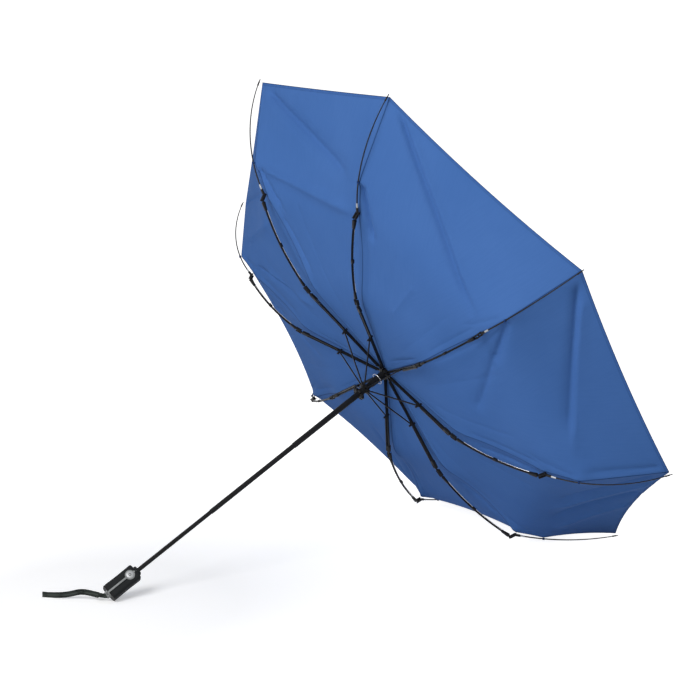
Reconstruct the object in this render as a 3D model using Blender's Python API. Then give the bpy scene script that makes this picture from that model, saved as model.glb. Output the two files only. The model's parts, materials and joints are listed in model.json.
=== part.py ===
"""Compact windproof umbrella with eight folding ribs, blown inside out and lying on the floor.

The umbrella is built upright about its shaft: the rib pivots lie in the plane z = 0, the canopy opens
towards +Z and the grip hangs below. One empty then lays the whole umbrella down until the foot of the grip
and two rib tips touch the floor. Lengths are in metres and angles in degrees.
"""

import math

import bmesh
import bpy
from mathutils import Matrix, Vector

RIB_COUNT = 8
RIBS_ON_FLOOR = (5, 6)

# Shaft and the stations along it, measured down from the rib pivots
SHAFT_LENGTH = 0.730
TOP_TUBE_SHARE = 0.3452
MIDDLE_TUBE_SHARE = 0.6452
TUBE_OVERLAP = 0.032
TOP_TUBE_RADIUS = 0.0060
MIDDLE_TUBE_RADIUS = 0.0051
LOWER_TUBE_RADIUS = 0.0042
TUBE_WALL = 0.0006
TUBE_LIP = 0.0012
LOWER_TUBE_SEAT = 0.048

# Clearance between pieces that touch or slide, and how far cutters run past what they cut
GAP = 0.0003
OVERRUN = 0.004

# Hinges of the ribs
PIVOT_RADIUS = 0.0095
PIN_RADIUS = 0.0008
EYE_RADIUS = 0.0020
TONGUE_WIDTH = 0.0020
FORK_WIDTH = 0.0044
FORK_EYE_RADIUS = 0.0023

# Ribs, and how many degrees each middle and outer rib is bent away from the usual slopes
TOP_RIB_LENGTH = 0.219
MIDDLE_RIB_LENGTH = 0.198
OUTER_RIB_LENGTH = 0.243
TOP_RIB_SLOPE = -8.73
MIDDLE_RIB_SLOPE = 11.84
OUTER_RIB_SLOPE = 37.8
MIDDLE_RIB_BENDS = (0, 0, 0, 0, 2.6, 2.6, 0, 0)
OUTER_RIB_BENDS = (-1.3, -6.8, 0, 2.7, 14.8, 14.8, 0, -1.3)
CHANNEL_WIDTH = 0.0040
CHANNEL_DEPTH = 0.0034
CHANNEL_WALL = 0.0007
CHANNEL_END = 0.0085
LINK_WIDTH = 0.0017
LINK_DEPTH = 0.0024
LINK_SPACE = 0.0013
CLIP_LENGTH = 0.007
WIRE_WIDTH = 0.0011
SLEEVE_LENGTH = 0.016
SLEEVE_RADIUS = 0.0018
ROD_RADIUS = 0.0012
ROD_BOW = 0.0045
TIP_RADIUS = 0.0026
TIP_LENGTH = 0.008

# Brackets between the ribs
BRACKET_LENGTH = 0.009
INNER_PIN_RISE = 0.0025
OUTER_PIN_DROP = 0.0041
BRIDGE_START = 0.0036
BRIDGE_LENGTH = 0.0018
BRIDGE_SINK = 0.0008

# Stretchers
STRETCHER_REACH = 0.1094
STRETCHER_PIN_DROP = 0.0020
STRETCHER_DEPTH = 0.0026
EAR_LENGTH = 0.009
EAR_DEPTH = 0.0048

# Top notch and cap
NOTCH_RADIUS = 0.0128
NOTCH_HALF_HEIGHT = 0.0035
NOTCH_SLEEVE_RADIUS = 0.0075
NOTCH_SLEEVE_FOOT = 0.040
NOTCH_CORE_RADIUS = 0.0070
NOTCH_ROOF = 0.0020
CAP_RADIUS = 0.0105
CAP_HEIGHT = 0.009
CAP_STEM_RADIUS = 0.0035
CAP_SEAT = 0.0060

# Runner
RUNNER_DROP = 0.055
CROWN_RADIUS = 0.0115
CROWN_RISE = 0.0025
CROWN_FALL = 0.0030
RUNNER_SLEEVE_RADIUS = 0.0072
FLANGE_RADIUS = 0.0140
FLANGE_TOP = 0.0150
FLANGE_HEIGHT = 0.0060
FLUTE_FLOOR = 0.0082
SLOT_WIDTH = 0.0026
FLUTE_WIDTH = 0.0034

# Grip
GRIP_LENGTH = 0.067
GRIP_WIDTH = 0.0335
GRIP_DEPTH = 0.0240
GRIP_CORNER = 0.0060
GRIP_SHOULDER = 0.0030
GRIP_WAIST = 0.0008
GRIP_TURN = 225.6
NECK_LENGTH = 0.0060
NECK_WIDTH = 0.0190
NECK_DEPTH = 0.0160
END_CAP_HEIGHT = 0.0030
END_CAP_STEP = 0.0008
INLAY_DEPTH = 0.0014
INLAY_PROUD = 0.0003
INLAY_RING_RADIUS = 0.0095
INLAY_LINE_WIDTH = 0.0032
BUTTON_DROP = 0.0146
BUTTON_RADIUS = 0.0072
BUTTON_SKIRT = 0.0030
BUTTON_DOME = 0.0022
BUTTON_TRAVEL = 0.0020
LUG_PAD_RADIUS = 0.0082
LUG_DEPTH = 0.0048
LUG_WALL = 0.0016
LUG_STAND = 0.0040
LUG_BAR_RADIUS = 0.0012

# Strap: a collapsed loop of webbing on edge, arching from the lug's bar down to the floor
STRAP_WIDTH = 0.0100
STRAP_THICKNESS = 0.0026
STRAP_EYE_RADIUS = 0.0026
STRAP_HEADING = 132.5
STRAP_FLOOR_GAP = 0.0003
STRAP_TWIST_LENGTH = 0.030
STRAP_ROUTE = (
    (0.0060, 0.0068),
    (0.0130, 0.0068),
    (0.0220, 0.0082),
    (0.0330, 0.0101),
    (0.0450, 0.0113),
    (0.0560, 0.0104),
    (0.0680, 0.0072),
    (0.0800, 0.0040),
    (0.0930, 0.0019),
    (0.1060, 0.0007),
    (0.1180, 0.0000),
    (0.1290, 0.0000),
)

# Canopy
CLOTH_THICKNESS = 0.0006
CLOTH_HOLE_RADIUS = 0.0045
CLOTH_OVER_NOTCH = 0.0006
CLOTH_OVER_INNER_PIN = 0.0031
CLOTH_OVER_OUTER_PIN = 0.0034
CLOTH_OVER_ROD = 0.0032
CLOTH_HEM_INSET = 0.0070
GORE_STEPS = 4
GORE_SAG_SHARE = 0.020

ROUND_STEPS = 20
NOTCH_STEPS = 32
SMALL_STEPS = 8
TILT_ROUNDS = 12


def material(name, colour, roughness, metallic=0.0):
    """A plain finish with the colour, roughness and metallic value of the real piece."""
    made = bpy.data.materials.new(name)
    made.use_nodes = True
    shader = made.node_tree.nodes["Principled BSDF"]
    shader.inputs["Base Color"].default_value = (*colour, 1.0)
    shader.inputs["Roughness"].default_value = roughness
    shader.inputs["Metallic"].default_value = metallic
    return made


def frame_for(x, z, slope):
    """Place of a member in its rib's plane: x outward, z up, slope upward in degrees."""
    return Matrix.Translation((x, 0, z)) @ Matrix.Rotation(math.radians(-slope), 4, "Y")


def add_empty(name, parent, place):
    empty = bpy.data.objects.new(name, None)
    bpy.context.scene.collection.objects.link(empty)
    empty.parent = parent
    empty.matrix_local = place
    return empty


def add_piece(name, mesh, finish, parent, place=None):
    """One sub-part: an object with its material, whose origin is on the axis that it moves on."""
    piece = bpy.data.objects.new(name, mesh)
    if not mesh.materials:
        mesh.materials.append(finish)
    bpy.context.scene.collection.objects.link(piece)
    piece.parent = parent
    piece.matrix_local = place or Matrix.Identity(4)
    return piece


def mesh_from(bm, smooth_below=35):
    """Turns the faces of a finished shape outward and shades its round parts smooth."""
    mesh = bpy.data.meshes.new("shape")
    bmesh.ops.recalc_face_normals(bm, faces=bm.faces)
    bm.to_mesh(mesh)
    bm.free()
    mesh.shade_smooth()
    mesh.set_sharp_from_angle(angle=math.radians(smooth_below))
    return mesh


def combined(base, tool, operation):
    """The mesh left by an exact Boolean of two meshes."""
    objects = []
    for mesh in (base, tool):
        holder = bpy.data.objects.new("holder", mesh)
        bpy.context.scene.collection.objects.link(holder)
        objects.append(holder)
    modifier = objects[0].modifiers.new("boolean", "BOOLEAN")
    modifier.object = objects[1]
    modifier.operation = operation
    modifier.solver = "EXACT"
    graph = bpy.context.evaluated_depsgraph_get()
    result = bpy.data.meshes.new_from_object(objects[0].evaluated_get(graph))
    for holder in objects:
        bpy.data.objects.remove(holder)
    return result


def through_rings(rings):
    """A closed body through rings of points, one after the other, capped at both ends."""
    bm = bmesh.new()
    loops = [[bm.verts.new(point) for point in ring] for ring in rings]
    for first, second in zip(loops, loops[1:]):
        for here, there in zip(range(len(first)), [*range(1, len(first)), 0]):
            bm.faces.new((first[here], first[there], second[there], second[here]))
    bm.faces.new(loops[0])
    bm.faces.new(loops[-1])
    return mesh_from(bm)


def without(body, cutters):
    """The mesh left when every cutter has been taken from it."""
    for cutter in cutters:
        body = combined(body, cutter, "DIFFERENCE")
    return body


def loft(stations, corner_share=0.45):
    """A bar along x through eight-sided sections, each given as (x, height, half width, half depth)."""
    rings = []
    for x, height, half_width, half_depth in stations:
        flat_width = half_width * (1 - corner_share)
        flat_depth = half_depth * (1 - corner_share)
        upper = [
            (half_width, flat_depth),
            (flat_width, half_depth),
            (-flat_width, half_depth),
            (-half_width, flat_depth),
        ]
        lower = [(-y, -z) for y, z in upper]
        rings.append([(x, y, height + z) for y, z in upper + lower])
    return through_rings(rings)


def box(low, high):
    bm = bmesh.new()
    bmesh.ops.create_cube(bm, size=1.0)
    low, high = Vector(low), Vector(high)
    bmesh.ops.scale(bm, vec=high - low, verts=bm.verts)
    bmesh.ops.translate(bm, vec=(low + high) / 2, verts=bm.verts)
    return mesh_from(bm)


def cross_pins(centres, radius, length, steps=SMALL_STEPS):
    """Round bars across the rib, along y, at the given (x, z) centres."""
    bm = bmesh.new()
    for x, z in centres:
        turn = Matrix.Translation((x, 0, z)) @ Matrix.Rotation(math.radians(90), 4, "X")
        bmesh.ops.create_cone(
            bm, cap_ends=True, segments=steps, radius1=radius, radius2=radius, depth=length, matrix=turn
        )
    return mesh_from(bm)


def plate(outline, half_width):
    """A flat plate in the rib's plane, given by its (x, z) outline."""
    bm = bmesh.new()
    corners = [bm.verts.new((x, -half_width, z)) for x, z in outline]
    face = bm.faces.new(corners)
    grown = bmesh.ops.extrude_face_region(bm, geom=[face])
    moved = [part for part in grown["geom"] if isinstance(part, bmesh.types.BMVert)]
    bmesh.ops.translate(bm, vec=(0, 2 * half_width, 0), verts=moved)
    return mesh_from(bm)


def turned(profile, steps=ROUND_STEPS):
    """A round piece about z from (radius, height) points, closed unless it starts and ends on the axis."""
    bm = bmesh.new()
    corners = [bm.verts.new((radius, 0, height)) for radius, height in profile]
    nexts = corners[1:] if profile[0][0] == 0 else [*corners[1:], corners[0]]
    outline = corners + [bm.edges.new(pair) for pair in zip(corners, nexts)]
    bmesh.ops.spin(bm, geom=outline, axis=(0, 0, 1), angle=math.tau, steps=steps, use_merge=True)
    bmesh.ops.remove_doubles(bm, verts=bm.verts, dist=GAP / 10)
    return mesh_from(bm)


def around_ring(make_one):
    """Joins one closed shape per rib into a single mesh, turned to each rib's direction."""
    bm = bmesh.new()
    for number in range(RIB_COUNT):
        shape = make_one()
        shape.transform(Matrix.Rotation(rib_turn(number), 4, "Z"))
        bm.from_mesh(shape)
        bpy.data.meshes.remove(shape)
    return mesh_from(bm)


def rib_turn(number):
    """Direction of a rib about the shaft, so that the two ribs on the floor point down evenly."""
    lowest = sum(RIBS_ON_FLOOR) / len(RIBS_ON_FLOOR) - 1
    return math.tau / RIB_COUNT * (number - lowest)


def tube_mesh(radius, head, foot):
    """A thin tube with a rolled lip at its foot."""
    inner = radius - TUBE_WALL
    lip = GAP / 2
    return turned(
        [
            (radius, -head),
            (radius, -foot + TUBE_LIP),
            (radius - lip, -foot),
            (inner, -foot),
            (inner, -head),
        ]
    )


def make_tubes(frames, steel):
    """Three tubes, each a push fit in the next and drawn out until they overlap by a little."""
    top_foot = SHAFT_LENGTH * TOP_TUBE_SHARE
    middle_foot = SHAFT_LENGTH * MIDDLE_TUBE_SHARE
    lower_foot = SHAFT_LENGTH - GRIP_LENGTH + LOWER_TUBE_SEAT
    tubes = (
        ("top", TOP_TUBE_RADIUS, GAP - NOTCH_ROOF, top_foot),
        ("middle", MIDDLE_TUBE_RADIUS, top_foot - TUBE_OVERLAP, middle_foot),
        ("lower", LOWER_TUBE_RADIUS, middle_foot - TUBE_OVERLAP, lower_foot),
    )
    for name, radius, head, foot in tubes:
        add_piece(f"{name}_tube", tube_mesh(radius, head, foot), steel, frames["shaft"])


def make_notch(frames, plastic):
    """Hub of the top ribs: a disc with a slot and a pin for each rib, and a sleeve on the top tube."""
    bore = TOP_TUBE_RADIUS + GAP
    body = turned(
        [
            (0, NOTCH_HALF_HEIGHT),
            (NOTCH_RADIUS - NOTCH_ROOF, NOTCH_HALF_HEIGHT),
            (NOTCH_RADIUS, NOTCH_HALF_HEIGHT - NOTCH_ROOF / 2),
            (NOTCH_RADIUS, -NOTCH_HALF_HEIGHT),
            (NOTCH_SLEEVE_RADIUS, -NOTCH_HALF_HEIGHT - NOTCH_ROOF),
            (NOTCH_SLEEVE_RADIUS, -NOTCH_SLEEVE_FOOT),
            (bore, -NOTCH_SLEEVE_FOOT),
            (bore, NOTCH_ROOF),
            (0, NOTCH_ROOF),
        ],
        steps=NOTCH_STEPS,
    )
    low = -NOTCH_HALF_HEIGHT - OVERRUN
    slots = around_ring(
        lambda: box(
            (NOTCH_CORE_RADIUS, -SLOT_WIDTH / 2, low),
            (NOTCH_RADIUS + OVERRUN, SLOT_WIDTH / 2, EYE_RADIUS + GAP),
        )
    )
    body = combined(body, slots, "DIFFERENCE")
    pins = around_ring(lambda: cross_pins([(PIVOT_RADIUS, 0)], PIN_RADIUS, SLOT_WIDTH + 2 * PIN_RADIUS))
    body = combined(body, pins, "UNION")
    add_piece("top_notch", body, plastic, frames["shaft"])


def make_cap(frames, plastic):
    """Ferrule over the middle of the cloth, with a stem through the cloth onto the notch."""
    foot = NOTCH_HALF_HEIGHT + GAP
    rim = CAP_SEAT
    crown = rim + CAP_HEIGHT
    arc = [math.radians(90 * step / 5) for step in range(6)]
    dome = [(CAP_RADIUS * math.cos(a), crown - CAP_HEIGHT * (1 - math.sin(a)) * (2 / 3)) for a in arc]
    stem = [(0, foot), (CAP_STEM_RADIUS, foot), (CAP_STEM_RADIUS, rim), (CAP_RADIUS, rim)]
    add_piece("top_cap", turned([*stem, *dome[:-1], (0, crown)]), plastic, frames["shaft"])


def make_runner(frames, plastic):
    """Sliding collar: a slotted crown for the stretchers, and a flange fluted for the folded ribs."""
    bore = TOP_TUBE_RADIUS + GAP
    flange_top = -FLANGE_TOP
    flange_foot = flange_top - FLANGE_HEIGHT
    round_off = FLANGE_HEIGHT / 4
    body = turned(
        [
            (bore, CROWN_RISE),
            (CROWN_RADIUS - round_off / 2, CROWN_RISE),
            (CROWN_RADIUS, CROWN_RISE - round_off / 2),
            (CROWN_RADIUS, -CROWN_FALL),
            (RUNNER_SLEEVE_RADIUS, -CROWN_FALL - round_off),
            (RUNNER_SLEEVE_RADIUS, flange_top + round_off),
            (FLANGE_RADIUS - round_off, flange_top),
            (FLANGE_RADIUS, flange_top - round_off),
            (FLANGE_RADIUS, flange_foot + round_off),
            (FLANGE_RADIUS - round_off, flange_foot),
            (bore, flange_foot),
        ],
        steps=NOTCH_STEPS,
    )
    crown_low = -CROWN_FALL - OVERRUN
    crown_slots = around_ring(
        lambda: box(
            (RUNNER_SLEEVE_RADIUS, -SLOT_WIDTH / 2, crown_low),
            (CROWN_RADIUS + OVERRUN, SLOT_WIDTH / 2, CROWN_RISE + OVERRUN),
        )
    )
    flutes = around_ring(
        lambda: box(
            (FLUTE_FLOOR, -FLUTE_WIDTH / 2, flange_foot - OVERRUN),
            (FLANGE_RADIUS + OVERRUN, FLUTE_WIDTH / 2, flange_top + OVERRUN),
        )
    )
    add_piece("runner", without(body, [crown_slots, flutes]), plastic, frames["runner"])


def channel_bar(length, near, far, ears):
    """A rib of channel section with a flat tongue and an eye at each end.

    near and far are the heights of the two hinge pins above the bar's middle line; ears lists the places
    along the bar where its walls run deeper, to hold a cross pin.
    """
    half_tongue = TONGUE_WIDTH / 2
    half_width = CHANNEL_WIDTH / 2
    half_depth = CHANNEL_DEPTH / 2
    back = math.sqrt(3) / 2
    eye_height = EYE_RADIUS * back
    slim = EYE_RADIUS * 0.9
    stations = [
        (-EYE_RADIUS, near, half_tongue, EYE_RADIUS / 3),
        (-EYE_RADIUS / 2, near, half_tongue, eye_height),
        (0, near, half_tongue, EYE_RADIUS),
        (CHANNEL_END - EYE_RADIUS, near / 4, half_tongue, slim),
        (CHANNEL_END, 0, half_width, half_depth),
    ]
    for place in ears:
        ramp = EAR_LENGTH / 2
        drop = (EAR_DEPTH - CHANNEL_DEPTH) / 2
        stations.append((place - ramp, 0, half_width, half_depth))
        stations.append((place - ramp / 2, -drop, half_width, EAR_DEPTH / 2))
        stations.append((place + ramp / 2, -drop, half_width, EAR_DEPTH / 2))
        stations.append((place + ramp, 0, half_width, half_depth))
    stations += [
        (length - CHANNEL_END, 0, half_width, half_depth),
        (length - CHANNEL_END + EYE_RADIUS, far / 4, half_tongue, slim),
        (length, far, half_tongue, EYE_RADIUS),
        (length + EYE_RADIUS / 2, far, half_tongue, eye_height),
        (length + EYE_RADIUS, far, half_tongue, EYE_RADIUS / 3),
    ]
    bar = loft(stations, corner_share=0.2)
    groove_top = half_depth - CHANNEL_WALL
    half_groove = half_width - CHANNEL_WALL
    groove_start = CHANNEL_END + CHANNEL_WALL
    groove = box(
        (groove_start, -half_groove, -EAR_DEPTH), (length - groove_start, half_groove, groove_top)
    )
    bar = combined(bar, groove, "DIFFERENCE")
    holes = cross_pins([(0, near), (length, far)], PIN_RADIUS + GAP, FORK_WIDTH)
    return combined(bar, holes, "DIFFERENCE")


def side_bar(start, end, width, depth, level, standoff, posts):
    """A thin bar beside a rib, held by a post at each given place."""
    half_width = CHANNEL_WIDTH / 2
    near_face = half_width + standoff
    bar = box((start, near_face, level - depth / 2), (end, near_face + width, level + depth / 2))
    for place, half_length in posts:
        post = box(
            (place - half_length, half_width - CHANNEL_WALL / 2, level - depth / 4),
            (place + half_length, near_face + width / 2, level + depth / 4),
        )
        bar = combined(bar, post, "UNION")
    return bar


def top_rib_mesh():
    """Top rib: a channel that the stretcher folds into, with the link bar beside its outer half."""
    bar = channel_bar(TOP_RIB_LENGTH, 0, INNER_PIN_RISE, [STRETCHER_REACH])
    pin = cross_pins([(STRETCHER_REACH, -STRETCHER_PIN_DROP)], PIN_RADIUS, CHANNEL_WIDTH - CHANNEL_WALL)
    bar = combined(bar, pin, "UNION")
    start = STRETCHER_REACH + EAR_LENGTH / 2
    end = TOP_RIB_LENGTH - CHANNEL_END
    post = LINK_DEPTH / 2
    posts = [(start + post, post), (end - post, post)]
    link = side_bar(start, end, LINK_WIDTH, LINK_DEPTH, -LINK_DEPTH / 4, LINK_SPACE, posts)
    return combined(bar, link, "UNION")


def middle_rib_mesh():
    """Middle rib: a channel with its spring wire beside it, clipped halfway."""
    bar = channel_bar(MIDDLE_RIB_LENGTH, 0, -OUTER_PIN_DROP, [])
    start = 2 * CHANNEL_END
    end = MIDDLE_RIB_LENGTH - 2 * CHANNEL_END
    posts = [
        (start + WIRE_WIDTH, WIRE_WIDTH),
        (MIDDLE_RIB_LENGTH / 2, CLIP_LENGTH / 2),
        (end - WIRE_WIDTH, WIRE_WIDTH),
    ]
    wire = side_bar(start, end, WIRE_WIDTH, WIRE_WIDTH, 0, LINK_SPACE, posts)
    return combined(bar, wire, "UNION")


def bow_at(share):
    """How far the bent rod stands below the straight line from its hinge to its tip."""
    return 4 * ROD_BOW * share * (1 - share)


def outer_rib_mesh():
    """Outer rib: an eye, the sleeve crimped on the rod, the slightly bent rod and its tip cap."""
    half_tongue = TONGUE_WIDTH / 2
    stations = [
        (-EYE_RADIUS, 0, half_tongue, EYE_RADIUS / 3),
        (-EYE_RADIUS / 2, 0, half_tongue, EYE_RADIUS * math.sqrt(3) / 2),
        (0, 0, half_tongue, EYE_RADIUS),
        (2 * EYE_RADIUS, 0, half_tongue, SLEEVE_RADIUS * 0.8),
        (3 * EYE_RADIUS, 0, SLEEVE_RADIUS, SLEEVE_RADIUS),
        (SLEEVE_LENGTH, 0, SLEEVE_RADIUS, SLEEVE_RADIUS),
        (SLEEVE_LENGTH + EYE_RADIUS, 0, ROD_RADIUS, ROD_RADIUS),
    ]
    rod_end = OUTER_RIB_LENGTH - TIP_LENGTH
    rod_start = SLEEVE_LENGTH + EYE_RADIUS
    rod_steps = 6
    for step in range(1, rod_steps):
        x = rod_start + (rod_end - rod_start) * step / rod_steps
        stations.append((x, 0, ROD_RADIUS, ROD_RADIUS))
    cap_start = OUTER_RIB_LENGTH - TIP_LENGTH
    stations += [
        (cap_start, 0, ROD_RADIUS, ROD_RADIUS),
        (cap_start + GAP, 0, TIP_RADIUS * 0.7, TIP_RADIUS * 0.7),
        (OUTER_RIB_LENGTH - TIP_RADIUS, 0, TIP_RADIUS * 0.8, TIP_RADIUS * 0.8),
        (OUTER_RIB_LENGTH, 0, TIP_RADIUS, TIP_RADIUS),
        (OUTER_RIB_LENGTH + TIP_RADIUS * 0.6, 0, TIP_RADIUS * 0.8, TIP_RADIUS * 0.8),
        (OUTER_RIB_LENGTH + TIP_RADIUS, 0, TIP_RADIUS * 0.3, TIP_RADIUS * 0.3),
    ]
    bent = [(x, -bow_at(min(max(x / OUTER_RIB_LENGTH, 0), 1)), y, z) for x, _, y, z in stations]
    rod = loft(bent)
    return combined(rod, cross_pins([(0, 0)], PIN_RADIUS + GAP, FORK_WIDTH), "DIFFERENCE")


def stretcher_mesh(length):
    """Stretcher: a flat bar with an eye at each end; the end at the runner stays open, without its ring."""
    half_tongue = TONGUE_WIDTH / 2
    half_depth = STRETCHER_DEPTH / 2
    bar = loft(
        [
            (-EYE_RADIUS, 0, half_tongue, EYE_RADIUS / 3),
            (-EYE_RADIUS / 2, 0, half_tongue, EYE_RADIUS * math.sqrt(3) / 2),
            (0, 0, half_tongue, EYE_RADIUS),
            (2 * EYE_RADIUS, 0, half_tongue, half_depth),
            (length - 2 * EYE_RADIUS, 0, half_tongue, half_depth),
            (length, 0, half_tongue, EYE_RADIUS),
            (length + EYE_RADIUS / 2, 0, half_tongue, EYE_RADIUS * math.sqrt(3) / 2),
            (length + EYE_RADIUS, 0, half_tongue, EYE_RADIUS / 3),
        ],
        corner_share=0.2,
    )
    return combined(bar, cross_pins([(0, 0), (length, 0)], PIN_RADIUS + GAP, FORK_WIDTH), "DIFFERENCE")


def rounded_link(first, second, radius, steps=5):
    """Outline of a link with round ends about two points, as (x, z) points."""
    along = Vector(second) - Vector(first)
    heading = math.atan2(along.y, along.x)
    outline = []
    for centre, start in ((second, heading - math.pi / 2), (first, heading + math.pi / 2)):
        for step in range(steps + 1):
            angle = start + math.pi * step / steps
            outline.append((centre[0] + radius * math.cos(angle), centre[1] + radius * math.sin(angle)))
    return outline


def bracket_mesh(pin_height):
    """Forked bracket between two ribs: two cheeks, a pin at each end and a bridge that clears both tongues.

    pin_height is the height of the second pin above the first; the bridge lies on that side.
    """
    side = 1 if pin_height > 0 else -1
    reach = BRACKET_LENGTH + FORK_WIDTH
    far = abs(pin_height) + FORK_WIDTH
    cheeks = plate(rounded_link((0, 0), (BRACKET_LENGTH, pin_height), FORK_EYE_RADIUS), FORK_WIDTH / 2)
    bridge_end = BRIDGE_START + BRIDGE_LENGTH
    opening = plate(
        [
            (-FORK_WIDTH, -side * FORK_WIDTH),
            (reach, -side * FORK_WIDTH),
            (reach, side * far),
            (bridge_end, side * far),
            (bridge_end, side * BRIDGE_SINK),
            (BRIDGE_START, side * BRIDGE_SINK),
            (BRIDGE_START, side * far),
            (-FORK_WIDTH, side * far),
        ],
        SLOT_WIDTH / 2,
    )
    body = combined(cheeks, opening, "DIFFERENCE")
    pins = cross_pins([(0, 0), (BRACKET_LENGTH, pin_height)], PIN_RADIUS, SLOT_WIDTH + PIN_RADIUS)
    return combined(body, pins, "UNION")


def rib_slopes(number):
    """Slopes of a middle and an outer rib; the two that carry the umbrella on the floor bend furthest."""
    return MIDDLE_RIB_SLOPE + MIDDLE_RIB_BENDS[number], OUTER_RIB_SLOPE + OUTER_RIB_BENDS[number]


def stretcher_line():
    """Length and slope of the stretcher from its pin on the top rib to the runner's crown."""
    place = frame_for(PIVOT_RADIUS, 0, TOP_RIB_SLOPE)
    pin = place @ Vector((STRETCHER_REACH, 0, -STRETCHER_PIN_DROP))
    line = Vector((PIVOT_RADIUS, 0, -RUNNER_DROP)) - pin
    return line.length, math.degrees(math.atan2(line.z, line.x)) - TOP_RIB_SLOPE


def make_ribs(frames, finishes):
    """Eight rib chains: top rib, stretcher, inner bracket, middle rib, outer bracket, outer rib."""
    length, slope = stretcher_line()
    members = {
        "top_rib": (top_rib_mesh(), finishes["steel"]),
        "stretcher": (stretcher_mesh(length), finishes["steel"]),
        "inner_bracket": (bracket_mesh(-INNER_PIN_RISE), finishes["plastic"]),
        "middle_rib": (middle_rib_mesh(), finishes["steel"]),
        "outer_bracket": (bracket_mesh(OUTER_PIN_DROP), finishes["plastic"]),
        "outer_rib": (outer_rib_mesh(), finishes["glass_fibre"]),
    }
    for number in range(RIB_COUNT):
        middle_slope, outer_slope = rib_slopes(number)
        turn = Matrix.Rotation(rib_turn(number), 4, "Z")
        steps = [
            ("top_rib", turn @ frame_for(PIVOT_RADIUS, 0, TOP_RIB_SLOPE)),
            ("inner_bracket", frame_for(TOP_RIB_LENGTH, INNER_PIN_RISE, middle_slope - TOP_RIB_SLOPE)),
            ("middle_rib", frame_for(BRACKET_LENGTH, -INNER_PIN_RISE, 0)),
            ("outer_bracket", frame_for(MIDDLE_RIB_LENGTH, -OUTER_PIN_DROP, outer_slope - middle_slope)),
            ("outer_rib", frame_for(BRACKET_LENGTH, OUTER_PIN_DROP, 0)),
        ]
        carrier = frames["shaft"]
        chain = {}
        for kind, place in steps:
            carrier = add_piece(f"{kind}_{number + 1}", *members[kind], carrier, place)
            chain[kind] = carrier
        place = frame_for(STRETCHER_REACH, -STRETCHER_PIN_DROP, slope)
        add_piece(f"stretcher_{number + 1}", *members["stretcher"], chain["top_rib"], place)


def rib_point(number, member, x, height):
    """A point fixed to a rib, in the shaft's frame: x along the named member and height above it."""
    middle_slope, outer_slope = rib_slopes(number)
    place = Matrix.Rotation(rib_turn(number), 4, "Z") @ frame_for(PIVOT_RADIUS, 0, TOP_RIB_SLOPE)
    if member != "top_rib":
        place = place @ frame_for(TOP_RIB_LENGTH, INNER_PIN_RISE, middle_slope - TOP_RIB_SLOPE)
        place = place @ frame_for(BRACKET_LENGTH, -INNER_PIN_RISE, 0)
    if member == "outer_rib":
        place = place @ frame_for(MIDDLE_RIB_LENGTH, -OUTER_PIN_DROP, outer_slope - middle_slope)
        place = place @ frame_for(BRACKET_LENGTH, OUTER_PIN_DROP, 0)
    return place @ Vector((x, 0, height))


def cloth_line(number):
    """Points of the cloth over one rib, from the hole at the notch to the corner of the hem."""
    turn = Matrix.Rotation(rib_turn(number), 4, "Z")
    over_notch = NOTCH_HALF_HEIGHT + CLOTH_OVER_NOTCH
    inner_height = INNER_PIN_RISE + CLOTH_OVER_INNER_PIN
    hem = OUTER_RIB_LENGTH - CLOTH_HEM_INSET
    points = [
        turn @ Vector((CLOTH_HOLE_RADIUS, 0, over_notch)),
        turn @ Vector((NOTCH_RADIUS, 0, over_notch)),
        rib_point(number, "top_rib", TOP_RIB_LENGTH, inner_height),
        rib_point(number, "middle_rib", MIDDLE_RIB_LENGTH, CLOTH_OVER_OUTER_PIN),
    ]
    outer_steps = 3
    for step in range(outer_steps + 1):
        points.append(rib_point(number, "outer_rib", hem * step / outer_steps, CLOTH_OVER_ROD))
    return points


def make_canopy(frames, cloth):
    """The cloth: eight gores stretched from rib to rib, each a little hollow between its ribs."""
    lines = [cloth_line(number) for number in range(RIB_COUNT)]
    bm = bmesh.new()
    columns = []
    for number in range(RIB_COUNT):
        here, there = lines[number], lines[(number + 1) % RIB_COUNT]
        for step in range(GORE_STEPS):
            share = step / GORE_STEPS
            column = []
            for first, second in zip(here, there):
                point = first.lerp(second, share)
                span = (second - first).length
                fullness = 4 * share * (1 - share)
                point.z += GORE_SAG_SHARE * span * fullness * min(1, span / SHAFT_LENGTH)
                column.append(bm.verts.new(point))
            columns.append(column)
    for left, right in zip(columns, [*columns[1:], columns[0]]):
        for row in range(len(left) - 1):
            bm.faces.new((left[row], left[row + 1], right[row + 1], right[row]))
    sheet = bpy.data.meshes.new("shape")
    bmesh.ops.recalc_face_normals(bm, faces=bm.faces)
    if sum(face.normal.z for face in bm.faces) < 0:
        bmesh.ops.reverse_faces(bm, faces=bm.faces)
    bm.to_mesh(sheet)
    bm.free()
    canopy = add_piece("canopy", sheet, cloth, frames["shaft"])
    thicken = canopy.modifiers.new("thickness", "SOLIDIFY")
    thicken.thickness = CLOTH_THICKNESS
    thicken.offset = 1


def rounded_rectangle(depth, width, corner, steps=4):
    """Outline in x and y, with round corners."""
    outline = []
    for quarter in range(4):
        middle = math.pi / 2 * quarter
        cx = (depth / 2 - corner) * (1 if quarter in (0, 3) else -1)
        cy = (width / 2 - corner) * (1 if quarter in (0, 1) else -1)
        for step in range(steps + 1):
            angle = middle + math.pi / 2 * step / steps
            outline.append((cx + corner * math.cos(angle), cy + corner * math.sin(angle)))
    return outline


def stacked(layers):
    """A body through rounded rectangles, each given as (height, depth, width, corner)."""
    rings = []
    for height, depth, width, corner in layers:
        rings.append([(x, y, height) for x, y in rounded_rectangle(depth, width, corner)])
    return through_rings(rings)


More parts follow.
